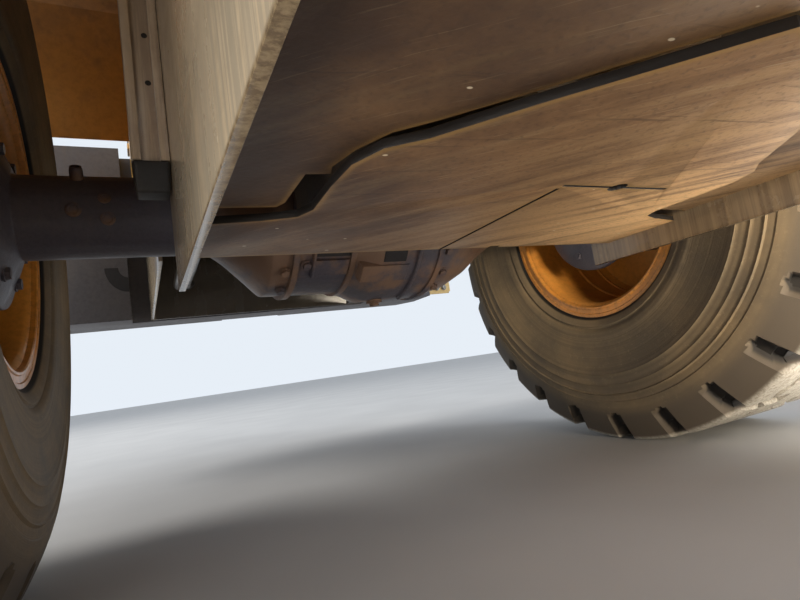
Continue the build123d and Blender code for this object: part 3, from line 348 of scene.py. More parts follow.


# Belly guards: thick rolled plate bolted up between the side plates to shield the drive line, its
# paint scoured off by stones and rubble, brown with rust and mud, and rubbed pale in long streaks.
# Light and shade are painted in as well: paler rubs towards +X, a painted patch of sunlight, painted
# shade towards -X and near-black painted shade on the upright edge faces.
def scoured_plate(name):
    made, tree, shader = blank_finish(name)
    spot = add_node(tree, "TexCoord").outputs["Object"]
    clouds = noise(tree, spot, 2.3, 10.0, 0.68)
    bend = add_node(tree, "TexNoise", {"Vector": spot, "Scale": 3.0, "Detail": 3.0}).outputs["Color"]
    waved = add_node(tree, "VectorMath", {0: spot, 1: add_node(tree, "VectorMath", {0: bend, 1: (0.05, 0.05, 0.0)},
                                                             operation="MULTIPLY").outputs[0]}, operation="ADD").outputs[0]

    def dragged(turn, length, width, detail):
        laid = add_node(tree, "Mapping", {"Vector": waved, "Rotation": (0, 0, math.radians(turn)),
                                          "Scale": (length, width, width)}, vector_type="TEXTURE").outputs[0]
        return noise(tree, laid, 1.0, detail, 0.66)

    rubs = dragged(-44, 0.42, 0.045, 8.0)
    scratches = dragged(-38, 0.09, 0.0035, 3.0)
    cuts = dragged(-8, 0.30, 0.010, 4.0)
    grit = noise(tree, spot, 130.0, 6.0)
    at = add_node(tree, "SeparateXYZ", {0: spot})
    # painted light: the rubbed streaks turn paler towards +X, the side where more light falls on the belly
    painted_light_side = band(tree, at.outputs["X"], -0.30, 0.22)
    fore_guard = band(tree, at.outputs["Z"], 0.6045, 0.6055)
    rust = blend_colour(tree, band(tree, clouds, 0.36, 0.66), rgb(94, 66, 44), rgb(144, 108, 72))
    rust = blend_colour(tree, times(tree, band(tree, rubs, 0.5, 0.68), 0.55), rust, rgb(168, 140, 102))
    rust = blend_colour(tree, times(tree, times(tree, band(tree, rubs, 0.34, 0.60), painted_light_side), 0.75), rust,
                        rgb(208, 166, 116))
    # painted light: a patch of sunlight on the guard, a box in x and y broken up by the rubs
    painted_sun_patch = times(tree, times(tree, band(tree, at.outputs["X"], 0.02, 0.30),
                               band(tree, at.outputs["Y"], 1.12, 1.26)),
                   band(tree, rubs, 0.28, 0.56))
    rust = blend_colour(tree, times(tree, painted_sun_patch, 0.85), rust, rgb(226, 184, 132))
    rust = blend_colour(tree, times(tree, band(tree, scratches, 0.60, 0.70), 0.35), rust, rgb(200, 178, 138))
    rust = blend_colour(tree, times(tree, band(tree, cuts, 0.60, 0.70), 0.45), rust, rgb(66, 46, 32))
    rust = blend_colour(tree, times(tree, band(tree, grit, 0.5, 0.75), 0.4), rust, rgb(62, 45, 32))
    rust = blend_colour(tree, times(tree, fore_guard, 0.35), rust, rgb(58, 42, 28))
    shaded = times(tree, band(tree, at.outputs["X"], -0.12, -0.40), band(tree, clouds, 0.72, 0.40))
    rust = blend_colour(tree, times(tree, shaded, 0.5), rust, rgb(64, 49, 42))
    chips = add_node(tree, "TexVoronoi", {"Vector": add_node(tree, "Mapping", {"Vector": waved, "Scale": (0.034, 0.022, 0.03)},
                                                            vector_type="TEXTURE").outputs[0], "Scale": 1.0})
    rare = band(tree, add_node(tree, "SeparateXYZ", {0: chips.outputs["Color"]}).outputs["X"], 0.93, 0.94)
    rust = blend_colour(tree, times(tree, rare, band(tree, chips.outputs["Distance"], 0.13, 0.08)), rust,
                        rgb(222, 206, 176))
    lip = add_node(tree, "VectorMath", {0: add_node(tree, "Bevel", {"Radius": 0.022}, samples=8).outputs[0],
                                        1: add_node(tree, "NewGeometry").outputs["Normal"]}, operation="DOT_PRODUCT")
    rubbed = times(tree, band(tree, lip.outputs["Value"], 0.995, 0.90), band(tree, clouds, 0.30, 0.55))
    rust = blend_colour(tree, times(tree, rubbed, 0.8), rust, rgb(164, 128, 72))
    # painted shade: every upright face of the guards, their plate edges, is coloured near black as the dark shadow gap
    # between the guards
    upright = add_node(tree, "SeparateXYZ", {0: add_node(tree, "NewGeometry").outputs["Normal"]}).outputs["Z"]
    painted_shade_edges = band(tree, add_node(tree, "Math", {0: upright}, operation="ABSOLUTE").outputs[0], 0.75, 0.45)
    rust = blend_colour(tree, painted_shade_edges, rust, rgb(24, 19, 15))
    tree.links.new(rust, shader.inputs["Base Color"])
    tree.links.new(add_node(tree, "MapRange", {"Value": rubs, "To Min": 0.72, "To Max": 0.38}).outputs[0],
                   shader.inputs["Roughness"])
    tree.links.new(times(tree, band(tree, rubs, 0.52, 0.7), 0.35), shader.inputs["Metallic"])
    rough = times(tree, times(tree, grit, 0.5), times(tree, clouds, 0.6), "ADD")
    bump = add_node(tree, "Bump", {"Height": rough, "Strength": 0.35, "Distance": 0.003})
    tree.links.new(bump.outputs[0], shader.inputs["Normal"])
    return made


guard_steel = scoured_plate("guard_steel")
dress("belly_guards", guard_steel, 0.0015)


# Axles: cast housings with a banjo bulge, bolted flanges and final drives, dark paint under oil and
# road dust. The bolts, the drain plugs and the cast ribs are on the outside.
def turned(name, outline, centre, material, spin=0.0, turns=48, axis="X", body="chassis"):
    """A turned or cast round piece from (along, radius) pairs about an axis."""
    mesh = bmesh.new()
    rings = []
    for i in range(turns):
        a = 2 * math.pi * i / turns + spin
        rings.append([mesh.verts.new((x, r * math.sin(a), r * math.cos(a))) for x, r in outline])
    for i in range(turns):
        here, there = rings[i], rings[(i + 1) % turns]
        for j in range(len(outline) - 1):
            mesh.faces.new((here[j], there[j], there[j + 1], here[j + 1]))
    bmesh.ops.recalc_face_normals(mesh, faces=mesh.faces)
    if axis == "Y":
        bmesh.ops.rotate(mesh, verts=mesh.verts, matrix=Matrix.Rotation(math.radians(90), 3, "Z"))
    if axis == "Z":
        bmesh.ops.rotate(mesh, verts=mesh.verts, matrix=Matrix.Rotation(math.radians(-90), 3, "Y"))
    return settle(mesh, name, body, material, crease=34, place=centre)


def bolt_heads(name, places, size, body, material, facing=(0, 0, 1)):
    """Hexagon bolt heads on round washers, one mesh for the whole pattern."""
    mesh = bmesh.new()
    turn = Vector((0, 0, 1)).rotation_difference(Vector(facing)).to_matrix()
    for place in places:
        for radius, low, high, sides in ((size * 1.25, 0.0, size * 0.22, 20), (size, size * 0.22, size * 0.95, 6)):
            ring = bmesh.ops.create_cone(mesh, cap_ends=True, segments=sides, radius1=radius,
                                         radius2=radius * (0.94 if sides == 6 else 1.0), depth=high - low)["verts"]
            for v in ring:
                v.co = turn @ (v.co + Vector((0, 0, (high + low) / 2))) + Vector(place)
    return settle(mesh, name, body, material)


dark_casting = worn_steel("dark_casting", rgb(78, 66, 56), dust=rgb(122, 104, 84), bare=rgb(60, 52, 46), scale=4.5,
                          dust_amount=0.75, runs=0.5, chips=0.5, gloss=0.42, relief=0.45, coat=0.1)
axle_casting = worn_steel("axle_casting", rgb(74, 70, 80), dust=rgb(98, 92, 92), bare=rgb(62, 60, 64), scale=5.5,
                          dust_amount=0.5, runs=0.3, chips=0.4, gloss=0.46, relief=0.55, coat=0.1)
cast_tree = axle_casting.node_tree
cast_shader = cast_tree.nodes["Principled BSDF"]
cast_spot = add_node(cast_tree, "TexCoord").outputs["Object"]
cast_across = add_node(cast_tree, "Math", {0: add_node(cast_tree, "SeparateXYZ", {0: cast_spot}).outputs["X"]},
                       operation="ABSOLUTE").outputs[0]
cast_patches = noise(cast_tree, cast_spot, 7.0, 6.0, 0.6)
bowl_dust = times(cast_tree, band(cast_tree, cast_across, 0.50, 0.36), band(cast_tree, cast_patches, 0.40, 0.56))
cast_coat = cast_shader.inputs["Base Color"].links[0].from_socket
cast_tree.links.new(blend_colour(cast_tree, times(cast_tree, bowl_dust, 0.8), cast_coat, rgb(128, 98, 74)),
                    cast_shader.inputs["Base Color"])
for node, body in (("rear_axle", "chassis"), ("front_axle", "front_body")):
    dress(node, axle_casting, 0.006)
    low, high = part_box(node)
    mid_y, mid_z = (low.y + high.y) / 2, (low.z + high.z) / 2
    hub_end = 0.09
    for side, label in ((-1, "right"), (1, "left")):
        bolt_heads(f"{node}_flange_bolts_{label}",
                   [(side * 0.822, mid_y + 0.14 * math.sin(a), mid_z + 0.14 * math.cos(a))
                    for a in [math.radians(22.5 + 45 * k) for k in range(8)]],
                   0.013, body, axle_casting, (-side, 0, 0))
        for name, x, climb, wide, proud in (
                ("plug_upper", 0.638, 0.17, 0.0125, 0.002), ("plug_lower", 0.634, -0.32, 0.0145, 0.002),
                ("plug_outer", 0.695, -0.12, 0.0150, 0.003), ("breather", 0.687, 0.86, 0.013, 0.026)):
            spot = Vector((side * x, mid_y - hub_end * math.cos(climb), mid_z + hub_end * math.sin(climb)))
            button = turned(f"{node}_{name}_{label}",
                            [(-0.004, wide), (proud * 0.6, wide), (proud, wide * 0.86), (proud, wide * 0.62),
                             (proud * 0.5, wide * 0.54), (proud * 0.5, 0.0)],
                            spot, axis="Z", body=body, material=axle_casting, turns=24)
            button.rotation_euler = (math.pi / 2 - climb, 0, 0)


# Banjo housing details of both axles: a bolted cover flange on the drive line's side, a raised panel
# with two cast slots, ribs under the bowl and a drain plug, all cast or bolted in the same dark iron.
# The two slots are thin near-black pads: painted shade, not recesses.
def bowl_pad(name, x0, x1, start, end, inner, outer, way, middle, body, material):
    """A cast pad that follows the bowl between two angles, measured down from the horizontal."""
    mesh = bmesh.new()
    angles = [math.radians(start + (end - start) * k / 8) for k in range(9)]
    grid = []
    for x, r in ((x0, inner), (x0 + 0.002, outer - 0.0015), (x0 + 0.004, outer), (x1 - 0.004, outer),
                 (x1 - 0.002, outer - 0.0015), (x1, inner)):
        grid.append([mesh.verts.new((x, middle.y + way * r * math.cos(a), middle.z - r * math.sin(a)))
                     for a in angles])
    for a, b in zip(grid, grid[1:]):
        for k in range(8):
            mesh.faces.new((a[k], a[k + 1], b[k + 1], b[k]))
    mesh.faces.new([row[0] for row in grid])
    mesh.faces.new([row[-1] for row in reversed(grid)])
    mesh.faces.new(grid[0] + list(reversed(grid[-1])))
    bmesh.ops.recalc_face_normals(mesh, faces=mesh.faces)
    return settle(mesh, name, body, material, crease=34)


# painted shade: the near-black finish of the axle slots and of the counterweight's lifting pocket
painted_shade_iron = worn_steel("painted_shade_iron", rgb(30, 28, 30), dust=rgb(58, 52, 48), bare=rgb(46, 42, 40), scale=3.0,
                        dust_amount=0.4, runs=0.2, chips=0.2, gloss=0.6, relief=0.4, coat=0.0)
for node, body, way in (("rear_axle", "chassis", -1), ("front_axle", "front_body", 1)):
    low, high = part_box(node)
    mid_y, mid_z = (low.y + high.y) / 2, (low.z + high.z) / 2
    for i, (x, crest) in enumerate(((-0.262, 0.212), (-0.122, 0.212), (0.105, 0.24))):
        turned(f"{node}_rib_{i}", [(x - 0.009, 0.15), (x - 0.007, crest), (x + 0.007, crest), (x + 0.009, 0.15)],
               (0, mid_y, mid_z), turns=72, body=body, material=axle_casting)
    middle = Vector((0, mid_y, mid_z))
    for i, (x0, x1, start, end, inner, outer, finish) in enumerate((
            (-0.222, -0.072, 35, 44, 0.200, 0.2065, painted_shade_iron), (-0.225, -0.130, 46, 58, 0.200, 0.213, axle_casting),
            (-0.110, 0.020, 47, 59, 0.215, 0.240, axle_casting), (-0.056, 0.010, 36, 45, 0.225, 0.2365, painted_shade_iron),
            (0.035, 0.048, 20, 84, 0.225, 0.243, axle_casting), (-0.225, -0.214, 33, 60, 0.200, 0.214, axle_casting))):
        bowl_pad(f"{node}_pad_{i}", x0, x1, start, end, inner, outer, way, middle, body, finish)
    for i, (x, reach, angle) in enumerate((
            (-0.236, 0.205, 50), (0.130, 0.2285, 40), (0.130, 0.2285, 56), (0.130, 0.2285, 72),
            (-0.285, 0.205, 35), (-0.285, 0.205, 55), (-0.285, 0.205, 75))):
        out = Vector((0, way * math.cos(math.radians(angle)), -math.sin(math.radians(angle))))
        bolt_heads(f"{node}_bowl_bolt_{i}", [middle + out * reach + Vector((x, 0, 0))], 0.0105, body,
                   axle_casting, out)
    turned(f"{node}_drain_plug",
           [(0.012, 0.0), (0.012, 0.020), (-0.006, 0.022), (-0.008, 0.013), (-0.015, 0.013), (-0.016, 0.0)],
           (-0.02, mid_y, mid_z - 0.236), axis="Z", body=body, material=axle_casting, turns=24)

# Power unit: the transmission and the engine with its pan, cast and pressed in dark grey and caked
# with dust and oil. Bent steel pipes in clips run back along the rails to the axle and the cooler.
dress("power_unit", dark_casting, 0.012)


def bent_pipe(name, points, radius, body, material):
    """A rigid steel pipe, bent on a mandrel and screwed into a block at both ends."""
    line = bpy.data.curves.new(name, "CURVE")
    line.dimensions = "3D"
    line.bevel_depth = radius
    line.bevel_resolution = 4
    line.resolution_u = 8
    line.use_fill_caps = True
    run = line.splines.new("NURBS")
    run.points.add(len(points) - 1)
    for point, place in zip(run.points, points):
        point.co = (*place, 1.0)
    run.order_u = 3
    run.use_endpoint_u = True
    line.materials.append(material)
    made = bpy.data.objects.new(name, line)
    bpy.context.scene.collection.objects.link(made)
    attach(made, body)
    return made


pipe_black = worn_steel("pipe_black", rgb(34, 32, 31), dust=rgb(96, 84, 70), scale=6.0, dust_amount=0.5, runs=0.2,
                        chips=0.2, gloss=0.3, coat=0.3)
for i, x in enumerate((-0.43, -0.385)):
    bent_pipe(f"return_pipe_{i}", [(x, 1.35, 0.80), (x, 1.55, 0.80), (x, 1.62, 0.98), (x, 2.30, 0.99),
                                   (x, 2.42, 0.84), (x, 3.30, 0.84), (x + 0.05, 3.42, 0.90)], 0.014, "chassis", pipe_black)


# Wheels: a rolled and welded steel rim with a stepped barrel, a lock ring and a pressed disc, painted
# the machine's yellow, carrying a radial tyre with a ring of rounded blocks on each shoulder.
wheel_yellow = worn_steel("wheel_yellow", rgb(226, 150, 60), dust=rgb(178, 128, 72), bare=rgb(150, 112, 74), scale=2.4,
                          dust_amount=0.45, runs=0.15, chips=0.5, gloss=0.34, relief=0.12, coat=0.25)
rim_outline = [(-0.2535, 0.3545), (-0.250, 0.3560), (-0.244, 0.3545), (-0.240, 0.346),
               (-0.238, 0.3178), (0.238, 0.3178), (0.240, 0.346), (0.244, 0.3545), (0.250, 0.356), (0.2535, 0.3545),
               (0.2535, 0.338), (0.246, 0.332), (0.236, 0.330), (0.232, 0.318), (0.206, 0.316), (0.200, 0.304),
               (0.150, 0.302), (0.135, 0.290), (0.122, 0.262), (0.118, 0.205), (0.130, 0.196), (0.160, 0.190),
               (0.215, 0.178), (0.236, 0.170), (0.242, 0.155), (0.242, 0.0)]
rim_back = [(0.095, 0.170), (0.095, 0.262), (0.088, 0.281), (0.070, 0.292), (0.062, 0.296), (0.058, 0.292),
            (0.052, 0.292), (0.048, 0.297), (0.0, 0.300), (-0.030, 0.300), (-0.034, 0.2965), (-0.040, 0.2965),
            (-0.045, 0.302), (-0.120, 0.304), (-0.135, 0.3015), (-0.150, 0.3015), (-0.200, 0.303), (-0.226, 0.305),
            (-0.236, 0.310), (-0.240, 0.316), (-0.2505, 0.318), (-0.2535, 0.321), (-0.2535, 0.326), (-0.2510, 0.3285),
            (-0.2510, 0.3420), (-0.2535, 0.3445)]


def dusty_rubber(name):
    made, tree, shader = blank_finish(name)
    spot = add_node(tree, "TexCoord").outputs["Object"]
    parts = add_node(tree, "SeparateXYZ", {0: spot})
    flat = add_node(tree, "CombineXYZ", {"Y": parts.outputs["Y"], "Z": parts.outputs["Z"]}).outputs[0]
    radius = add_node(tree, "VectorMath", {0: flat}, operation="LENGTH").outputs["Value"]
    clouds = noise(tree, spot, 4.0, 9.0, 0.65)
    grit = noise(tree, spot, 95.0, 6.0, 0.7)
    fan = add_node(tree, "VectorMath", {0: flat, 1: (0.0, 14.0, 14.0)}, operation="MULTIPLY").outputs[0]
    spokes = add_node(tree, "TexNoise", {"Vector": add_node(tree, "VectorMath", {0: fan, 1: flat}, operation="CROSS_PRODUCT")
                                         .outputs[0], "Scale": 3.0, "Detail": 4.0}).outputs["Fac"]
    rings = add_node(tree, "TexNoise", {"Scale": 46.0, "W": radius, "Detail": 5.0, "Roughness": 0.75},
                     noise_dimensions="1D").outputs["Fac"]
    on_wall = times(tree, band(tree, radius, 0.36, 0.40), band(tree, radius, 0.70, 0.62))
    top = times(tree, band(tree, radius, 0.758, 0.770), 0.92)
    # painted shade: where the tread is cut, the groove walls and floors are coloured near black, the shade inside the
    # grooves
    groove_shade = band(tree, add_node(tree, "Attribute", attribute_name="cut").outputs["Fac"], 0.25, 0.75)
    brown = blend_colour(tree, band(tree, clouds, 0.30, 0.72), rgb(104, 92, 74), rgb(142, 122, 92))
    brown = blend_colour(tree, times(tree, band(tree, rings, 0.42, 0.62), times(tree, on_wall, 0.35)), brown, rgb(88, 76, 62))
    brown = blend_colour(tree, times(tree, band(tree, grit, 0.55, 0.72), 0.30), brown, rgb(172, 152, 120))
    brown = blend_colour(tree, times(tree, band(tree, spokes, 0.56, 0.70), 0.22), brown, rgb(74, 66, 56))
    brown = blend_colour(tree, band(tree, radius, 0.640, 0.700), brown, rgb(92, 82, 70))
    brown = blend_colour(tree, top, brown, blend_colour(tree, band(tree, grit, 0.35, 0.65), rgb(150, 144, 132),
                                                        rgb(196, 190, 178)))
    brown = blend_colour(tree, groove_shade, brown, rgb(40, 36, 32))
    brown = blend_colour(tree, band(tree, radius, 0.3665, 0.3610), brown, rgb(16, 14, 13))
    tree.links.new(brown, shader.inputs["Base Color"])
    tree.links.new(add_node(tree, "MapRange", {"Value": clouds, "To Min": 0.62, "To Max": 0.9}).outputs[0],
                   shader.inputs["Roughness"])
    ridged = times(tree, times(tree, rings, on_wall), 0.9)
    height = add_node(tree, "Math", {0: times(tree, grit, 0.35), 1: ridged}, operation="ADD").outputs[0]
    bump = add_node(tree, "Bump", {"Height": height, "Strength": 0.4, "Distance": 0.004})
    tree.links.new(bump.outputs[0], shader.inputs["Normal"])
    return made


tyre_rubber = dusty_rubber("tyre_rubber")
tyre_radius = 0.775
tread_depth = 0.034
bead_wall = [(0.238, 0.3185), (0.2385, 0.348), (0.2560, 0.3575), (0.2640, 0.366), (0.2700, 0.377), (0.2735, 0.386),
             (0.2700, 0.390), (0.2705, 0.395), (0.2765, 0.400), (0.2800, 0.410), (0.2830, 0.424)]
ridges = [(0.436, 0.0), (0.548, 0.003), (0.566, 0.0), (0.584, 0.003), (0.600, 0.0), (0.616, 0.004), (0.634, 0.0)]
half_track = 1.07
groove_turn = math.radians(15.0)
tread_points = [0.6410, 0.6600, 0.6770, 0.6840, 0.6910, 0.6980, 0.7080, 0.7230, 0.7380, 0.7530, 0.7640, 0.7705]
crown_points = [0.2220, 0.2080, 0.1750, 0.1400, 0.1200, 0.1150, 0.1100, 0.1000, 0.0950, 0.0900, 0.0600, 0.0330, 0.0270]


def wall_bulge(r):
    """Half the tyre's width at a radius: a flat-sided curve, widest at two fifths of the wall's height."""
    return 0.2945 - 0.0115 * ((0.540 - r) / 0.116) ** 2 if r < 0.540 else 0.2945 - 0.0085 * ((r - 0.540) / 0.10) ** 2


def tyre_section():
    """Half the section from bead to crown, as (x, r) pairs: wall, moulded rings, shoulder and tread."""
    wall = list(bead_wall)
    for r, proud in ridges:
        for step, lift in ((-0.0040, 0.0), (0.0, proud), (0.0040, 0.0)):
            wall.append((min(0.2948, wall_bulge(r + step) - 0.0025 + lift), r + step))
    for r in tread_points:
        wall.append((0.286 - 0.062 * max(0.0, (r - 0.640) / 0.135) ** 1.35, r))
    return wall + [(x, tyre_radius - 0.003 * max(0.0, (x - 0.19) / 0.034) ** 2) for x in crown_points]


def sink(x, r, turn):
    """How deep the tread is cut at a point: a bar-shaped groove a pitch, ending round on the shoulder."""
    swing = 0.012 * math.sin((abs(x) - 0.10) / 0.19 * math.pi / 2)
    offset = groove_turn / 2 if x > 0 else 0.0
    away = abs((turn + swing / tyre_radius - offset + groove_turn / 2) % groove_turn - groove_turn / 2) * r
    half = 0.019
    if r < 0.706:
        half *= math.sqrt(max(0.0, 1.0 - ((0.706 - r) / 0.024) ** 2))
    deep = tread_depth if r < 0.762 else tread_depth - 0.001
    cut = min(1.0, max(0.0, (half + 0.003 - away) / 0.006)) if half > 0.003 else 0.0
    if abs(x) < 0.030:
        cut = 0.0
    weave = 0.105 + 0.006 * math.sin(turn / groove_turn * 2 * math.pi)
    ring = min(1.0, max(0.0, (0.0105 - abs(abs(x) - weave)) / 0.004))
    return deep * cut, 0.022 * ring if r > 0.765 and abs(x) < 0.2 else 0.0


def tyre_mesh(name):
    """A whole tyre as one closed skin, with twenty-four grooves a side, staggered by half a pitch."""
    half = tyre_section()
    section = half + [(0.0, tyre_radius)] + [(-x, r) for x, r in reversed(half)]
    steps = (0.0, 1.15, 1.6, 2.1, 3.75)
    near = sorted({(c + way * k) % 15.0 for c in (0.0, 7.5) for way in (1, -1) for k in steps})
    turns = [math.radians(15.0 * k + a) for k in range(24) for a in near]
    mesh = bmesh.new()
    rings, cuts = [], []
    for turn in turns:
        ring = []
        for x, r in section:
            depth = max(sink(x, r, turn))
            cuts.append(depth / tread_depth)
            if r < 0.742 and depth:
                slope = (r - 0.640) / 0.102
                put = Vector((math.copysign(abs(x) - depth * (1.0 - 0.5 * slope), x), r - depth * 0.5 * slope))
            else:
                put = Vector((x * (1 - 0.10 * (depth / tread_depth) * (abs(x) > 0.21)), r - depth))
            ring.append(mesh.verts.new((put.x, put.y * math.sin(turn), put.y * math.cos(turn))))
        rings.append(ring)
    for i in range(len(rings)):
        here, there = rings[i], rings[(i + 1) % len(rings)]
        for j in range(len(section) - 1):
            mesh.faces.new((here[j], there[j], there[j + 1], here[j + 1]))
        mesh.faces.new((here[-1], there[-1], there[0], here[0]))
    bmesh.ops.recalc_face_normals(mesh, faces=mesh.faces)
    data = bpy.data.meshes.new(name)
    mesh.to_mesh(data)
    mesh.free()
    data.polygons.foreach_set("use_smooth", [True] * len(data.polygons))
    data.set_sharp_from_angle(angle=math.radians(38))
    data.attributes.new("cut", "FLOAT", "POINT").data.foreach_set("value", cuts)
    data.materials.append(tyre_rubber)
    return data


for corner in ("front_left", "front_right", "rear_left", "rear_right"):
    low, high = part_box("rim_" + corner)
    hub = (low + high) / 2
    outer = 1 if hub.x > 0 else -1
    body = "wheel_" + corner
    rubber = bpy.data.objects.new("tyre_" + corner + "_moulded", tyre_mesh("tyre_" + corner + "_moulded"))
    bpy.context.scene.collection.objects.link(rubber)
    rubber.location = (outer * half_track, hub.y, hub.z)
    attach(rubber, body)
    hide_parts("tyre_" + corner)
    centre = (outer * half_track, hub.y, hub.z)
    barrel = turned("rim_" + corner + "_rolled", [(outer * x, r) for x, r in rim_back + rim_outline], centre,
                    turns=96, body=body, material=wheel_yellow)
    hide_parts("rim_" + corner)
    plate = turned("rim_" + corner + "_disc_back", [(outer * 0.095, 0.0), (outer * 0.095, 0.170)], centre, turns=96,
                   body=body, material=wheel_yellow)
    bolt_heads("rim_" + corner + "_nuts",
               [(centre[0] + outer * 0.118, centre[1] + 0.225 * math.sin(a), centre[2] + 0.225 * math.cos(a))
                for a in [math.radians(18 * k) for k in range(20)]], 0.014, body, turned_steel, (outer, 0, 0))


# Counterweight: one iron casting bolted behind the frame and painted grey, with wings that reach
# forward over the rails and a pocket for the tow pin.
cast_grey = worn_steel("cast_grey", rgb(84, 82, 86), dust=rgb(104, 98, 94), bare=rgb(66, 64, 66), scale=2.0,
                       dust_amount=0.55, runs=0.45, chips=0.5, gloss=0.5, relief=0.5, coat=0.05)
dress("counterweight", cast_grey, 0.012)
wing_face = 3.455
for side, label in ((-1, "right"), (1, "left")):
    # the lifting pocket: a hook-shaped recess round a half boss, drawn as a thin sheet of near-black painted shade
    outline = []
    for wide, deep, sweep in ((0.098, 0.118, range(0, 91, 9)), (0.040, 0.048, range(90, -1, -9))):
        for a in sweep:
            outline.append((-0.612 - wide * math.cos(math.radians(a)), 1.005 - deep * math.sin(math.radians(a))))
    pocket = bmesh.new()
    front = [pocket.verts.new((-side * x, wing_face - 0.0015, z)) for x, z in outline]
    back = [pocket.verts.new((-side * x, wing_face + 0.004, z)) for x, z in outline]
    pocket.faces.new(front)
    for i in range(len(outline)):
        j = (i + 1) % len(outline)
        pocket.faces.new((front[i], front[j], back[j], back[i]))
    bmesh.ops.recalc_face_normals(pocket, faces=pocket.faces)
    settle(pocket, "lifting_pocket_shade_" + label, "chassis", painted_shade_iron)

# Lamp brackets: a short flame-cut plate with two bolts, welded to each side of the counterweight and
# painted with the machine. Its yellow is made paler than the machine's as painted sunlight, so it stands out pale
# against the iron.
sunlit_bracket_yellow = worn_steel("sunlit_bracket_yellow", rgb(240, 204, 128), dust=rgb(206, 172, 116), bare=rgb(150, 126, 92), scale=6.0,
                            dust_amount=0.4, runs=0.2, chips=0.4, gloss=0.35, relief=0.1, coat=0.2)
for side, label in ((-1, "right"), (1, "left")):
    tab = bmesh.new()
    bmesh.ops.create_cube(tab, size=1.0)
    for v in tab.verts:
        v.co = Vector((side * (1.1 + 0.16 * v.co.x), 3.462 + 0.012 * v.co.y, 0.796 + 0.078 * v.co.z))
    bmesh.ops.recalc_face_normals(tab, faces=tab.faces)
    outer_edges = [e for e in tab.edges if all(abs(v.co.x) > 1.1 for v in e.verts)
                   and abs(e.verts[0].co.y - e.verts[1].co.y) > 0.01]
    bmesh.ops.bevel(tab, geom=outer_edges, offset=0.010, segments=3, affect="EDGES")
    bmesh.ops.bevel(tab, geom=list(tab.edges), offset=0.001, segments=1, affect="EDGES")
    tab_piece = settle(tab, "lamp_bracket_" + label, "chassis", sunlit_bracket_yellow)
    bolt_heads("lamp_bracket_bolts_" + label, [(side * x, 3.456, 0.794) for x in (1.085, 1.135)], 0.014, "chassis",
               turned_steel, (0, -1, 0))


# Hood: pressed sheet steel over the engine with louvred sides, painted yellow. The grille door and
# the stacks are black.
machine_yellow = worn_steel("machine_yellow", rgb(226, 170, 62), dust=rgb(170, 146, 108), scale=1.0, dust_amount=0.35,
                            runs=0.3, chips=0.6, gloss=0.24, relief=0.05, coat=0.45)
satin_black = worn_steel("satin_black", rgb(38, 37, 36), dust=rgb(112, 102, 88), bare=rgb(96, 90, 84), scale=2.4,
                         dust_amount=0.35, runs=0.2, chips=0.6, gloss=0.42, relief=0.08, coat=0.1)
dress("hood", machine_yellow, 0.006)
dress("grille_door", satin_black, 0.003)
dress("intake_exhaust", satin_black, 0.004)

# Fenders, platform, ladders and handrails: folded plate and bent tube, bolted to the frame. The
# fenders are under dried mud, and the walkways and rails are satin black.
muddy_yellow = worn_steel("muddy_yellow", rgb(190, 132, 60), dust=rgb(128, 96, 66), scale=1.6, dust_amount=0.85,
                          runs=0.6, chips=0.6, gloss=0.45, relief=0.2, coat=0.1)
dress("rear_fenders", muddy_yellow, 0.003)
dress("front_fenders", muddy_yellow, 0.003)
dress("platform", satin_black, 0.003)
dress("handrails", satin_black, 0.0)

# Cab: a welded frame of steel posts with bonded tinted glass, a black roof and a glazed door. The
# panes are flat and carry a thin film of dust.
dress("cab_shell", machine_yellow, 0.006)
dress("cab_roof", satin_black, 0.012)
dress("cab_door", satin_black, 0.005)
tinted_glass, glass_tree, glass = blank_finish("tinted_glass")
glass.inputs["Transmission Weight"].default_value = 0.92
glass.inputs["IOR"].default_value = 1.45
glass_spot = add_node(glass_tree, "TexCoord").outputs["Object"]
film = noise(glass_tree, glass_spot, 3.0, 8.0)
glass_tree.links.new(blend_colour(glass_tree, band(glass_tree, film, 0.4, 0.75), rgb(150, 172, 168),
                                  rgb(186, 182, 168)),
                     glass.inputs["Base Color"])
glass_tree.links.new(add_node(glass_tree, "MapRange", {"Value": film, "From Min": 0.45, "From Max": 0.8,
                                                       "To Min": 0.02, "To Max": 0.3}).outputs[0],
                     glass.inputs["Roughness"])
for node in ("cab_glass", "door_glass"):
    pane = dress(node, tinted_glass, 0.0)
    pane.data.polygons.foreach_set("use_smooth", [False] * len(pane.data.polygons))


# Operator's seat: a steel suspension box under two foam cushions in woven cloth, sewn in three
# channels. The steering column beside it is moulded black plastic.
def woven_cloth(name):
    made, tree, shader = blank_finish(name)
    spot = add_node(tree, "TexCoord").outputs["Object"]
    warp = add_node(tree, "TexWave", {"Vector": spot, "Scale": 210.0, "Distortion": 0.4},
                    bands_direction="X").outputs["Fac"]
    weft = add_node(tree, "TexWave", {"Vector": spot, "Scale": 210.0, "Distortion": 0.4},
                    bands_direction="Y").outputs["Fac"]
    weave = times(tree, warp, weft)
    rub = noise(tree, spot, 9.0, 6.0)
    cloth = blend_colour(tree, band(tree, rub, 0.4, 0.7), rgb(38, 38, 42), rgb(66, 64, 64))
    cloth = blend_colour(tree, times(tree, weave, 0.4), cloth, rgb(96, 94, 94))
    tree.links.new(cloth, shader.inputs["Base Color"])
    shader.inputs["Roughness"].default_value = 0.85
    shader.inputs["Sheen Weight"].default_value = 0.3
    bump = add_node(tree, "Bump", {"Height": weave, "Strength": 0.4, "Distance": 0.0012})
    tree.links.new(bump.outputs[0], shader.inputs["Normal"])
    return made


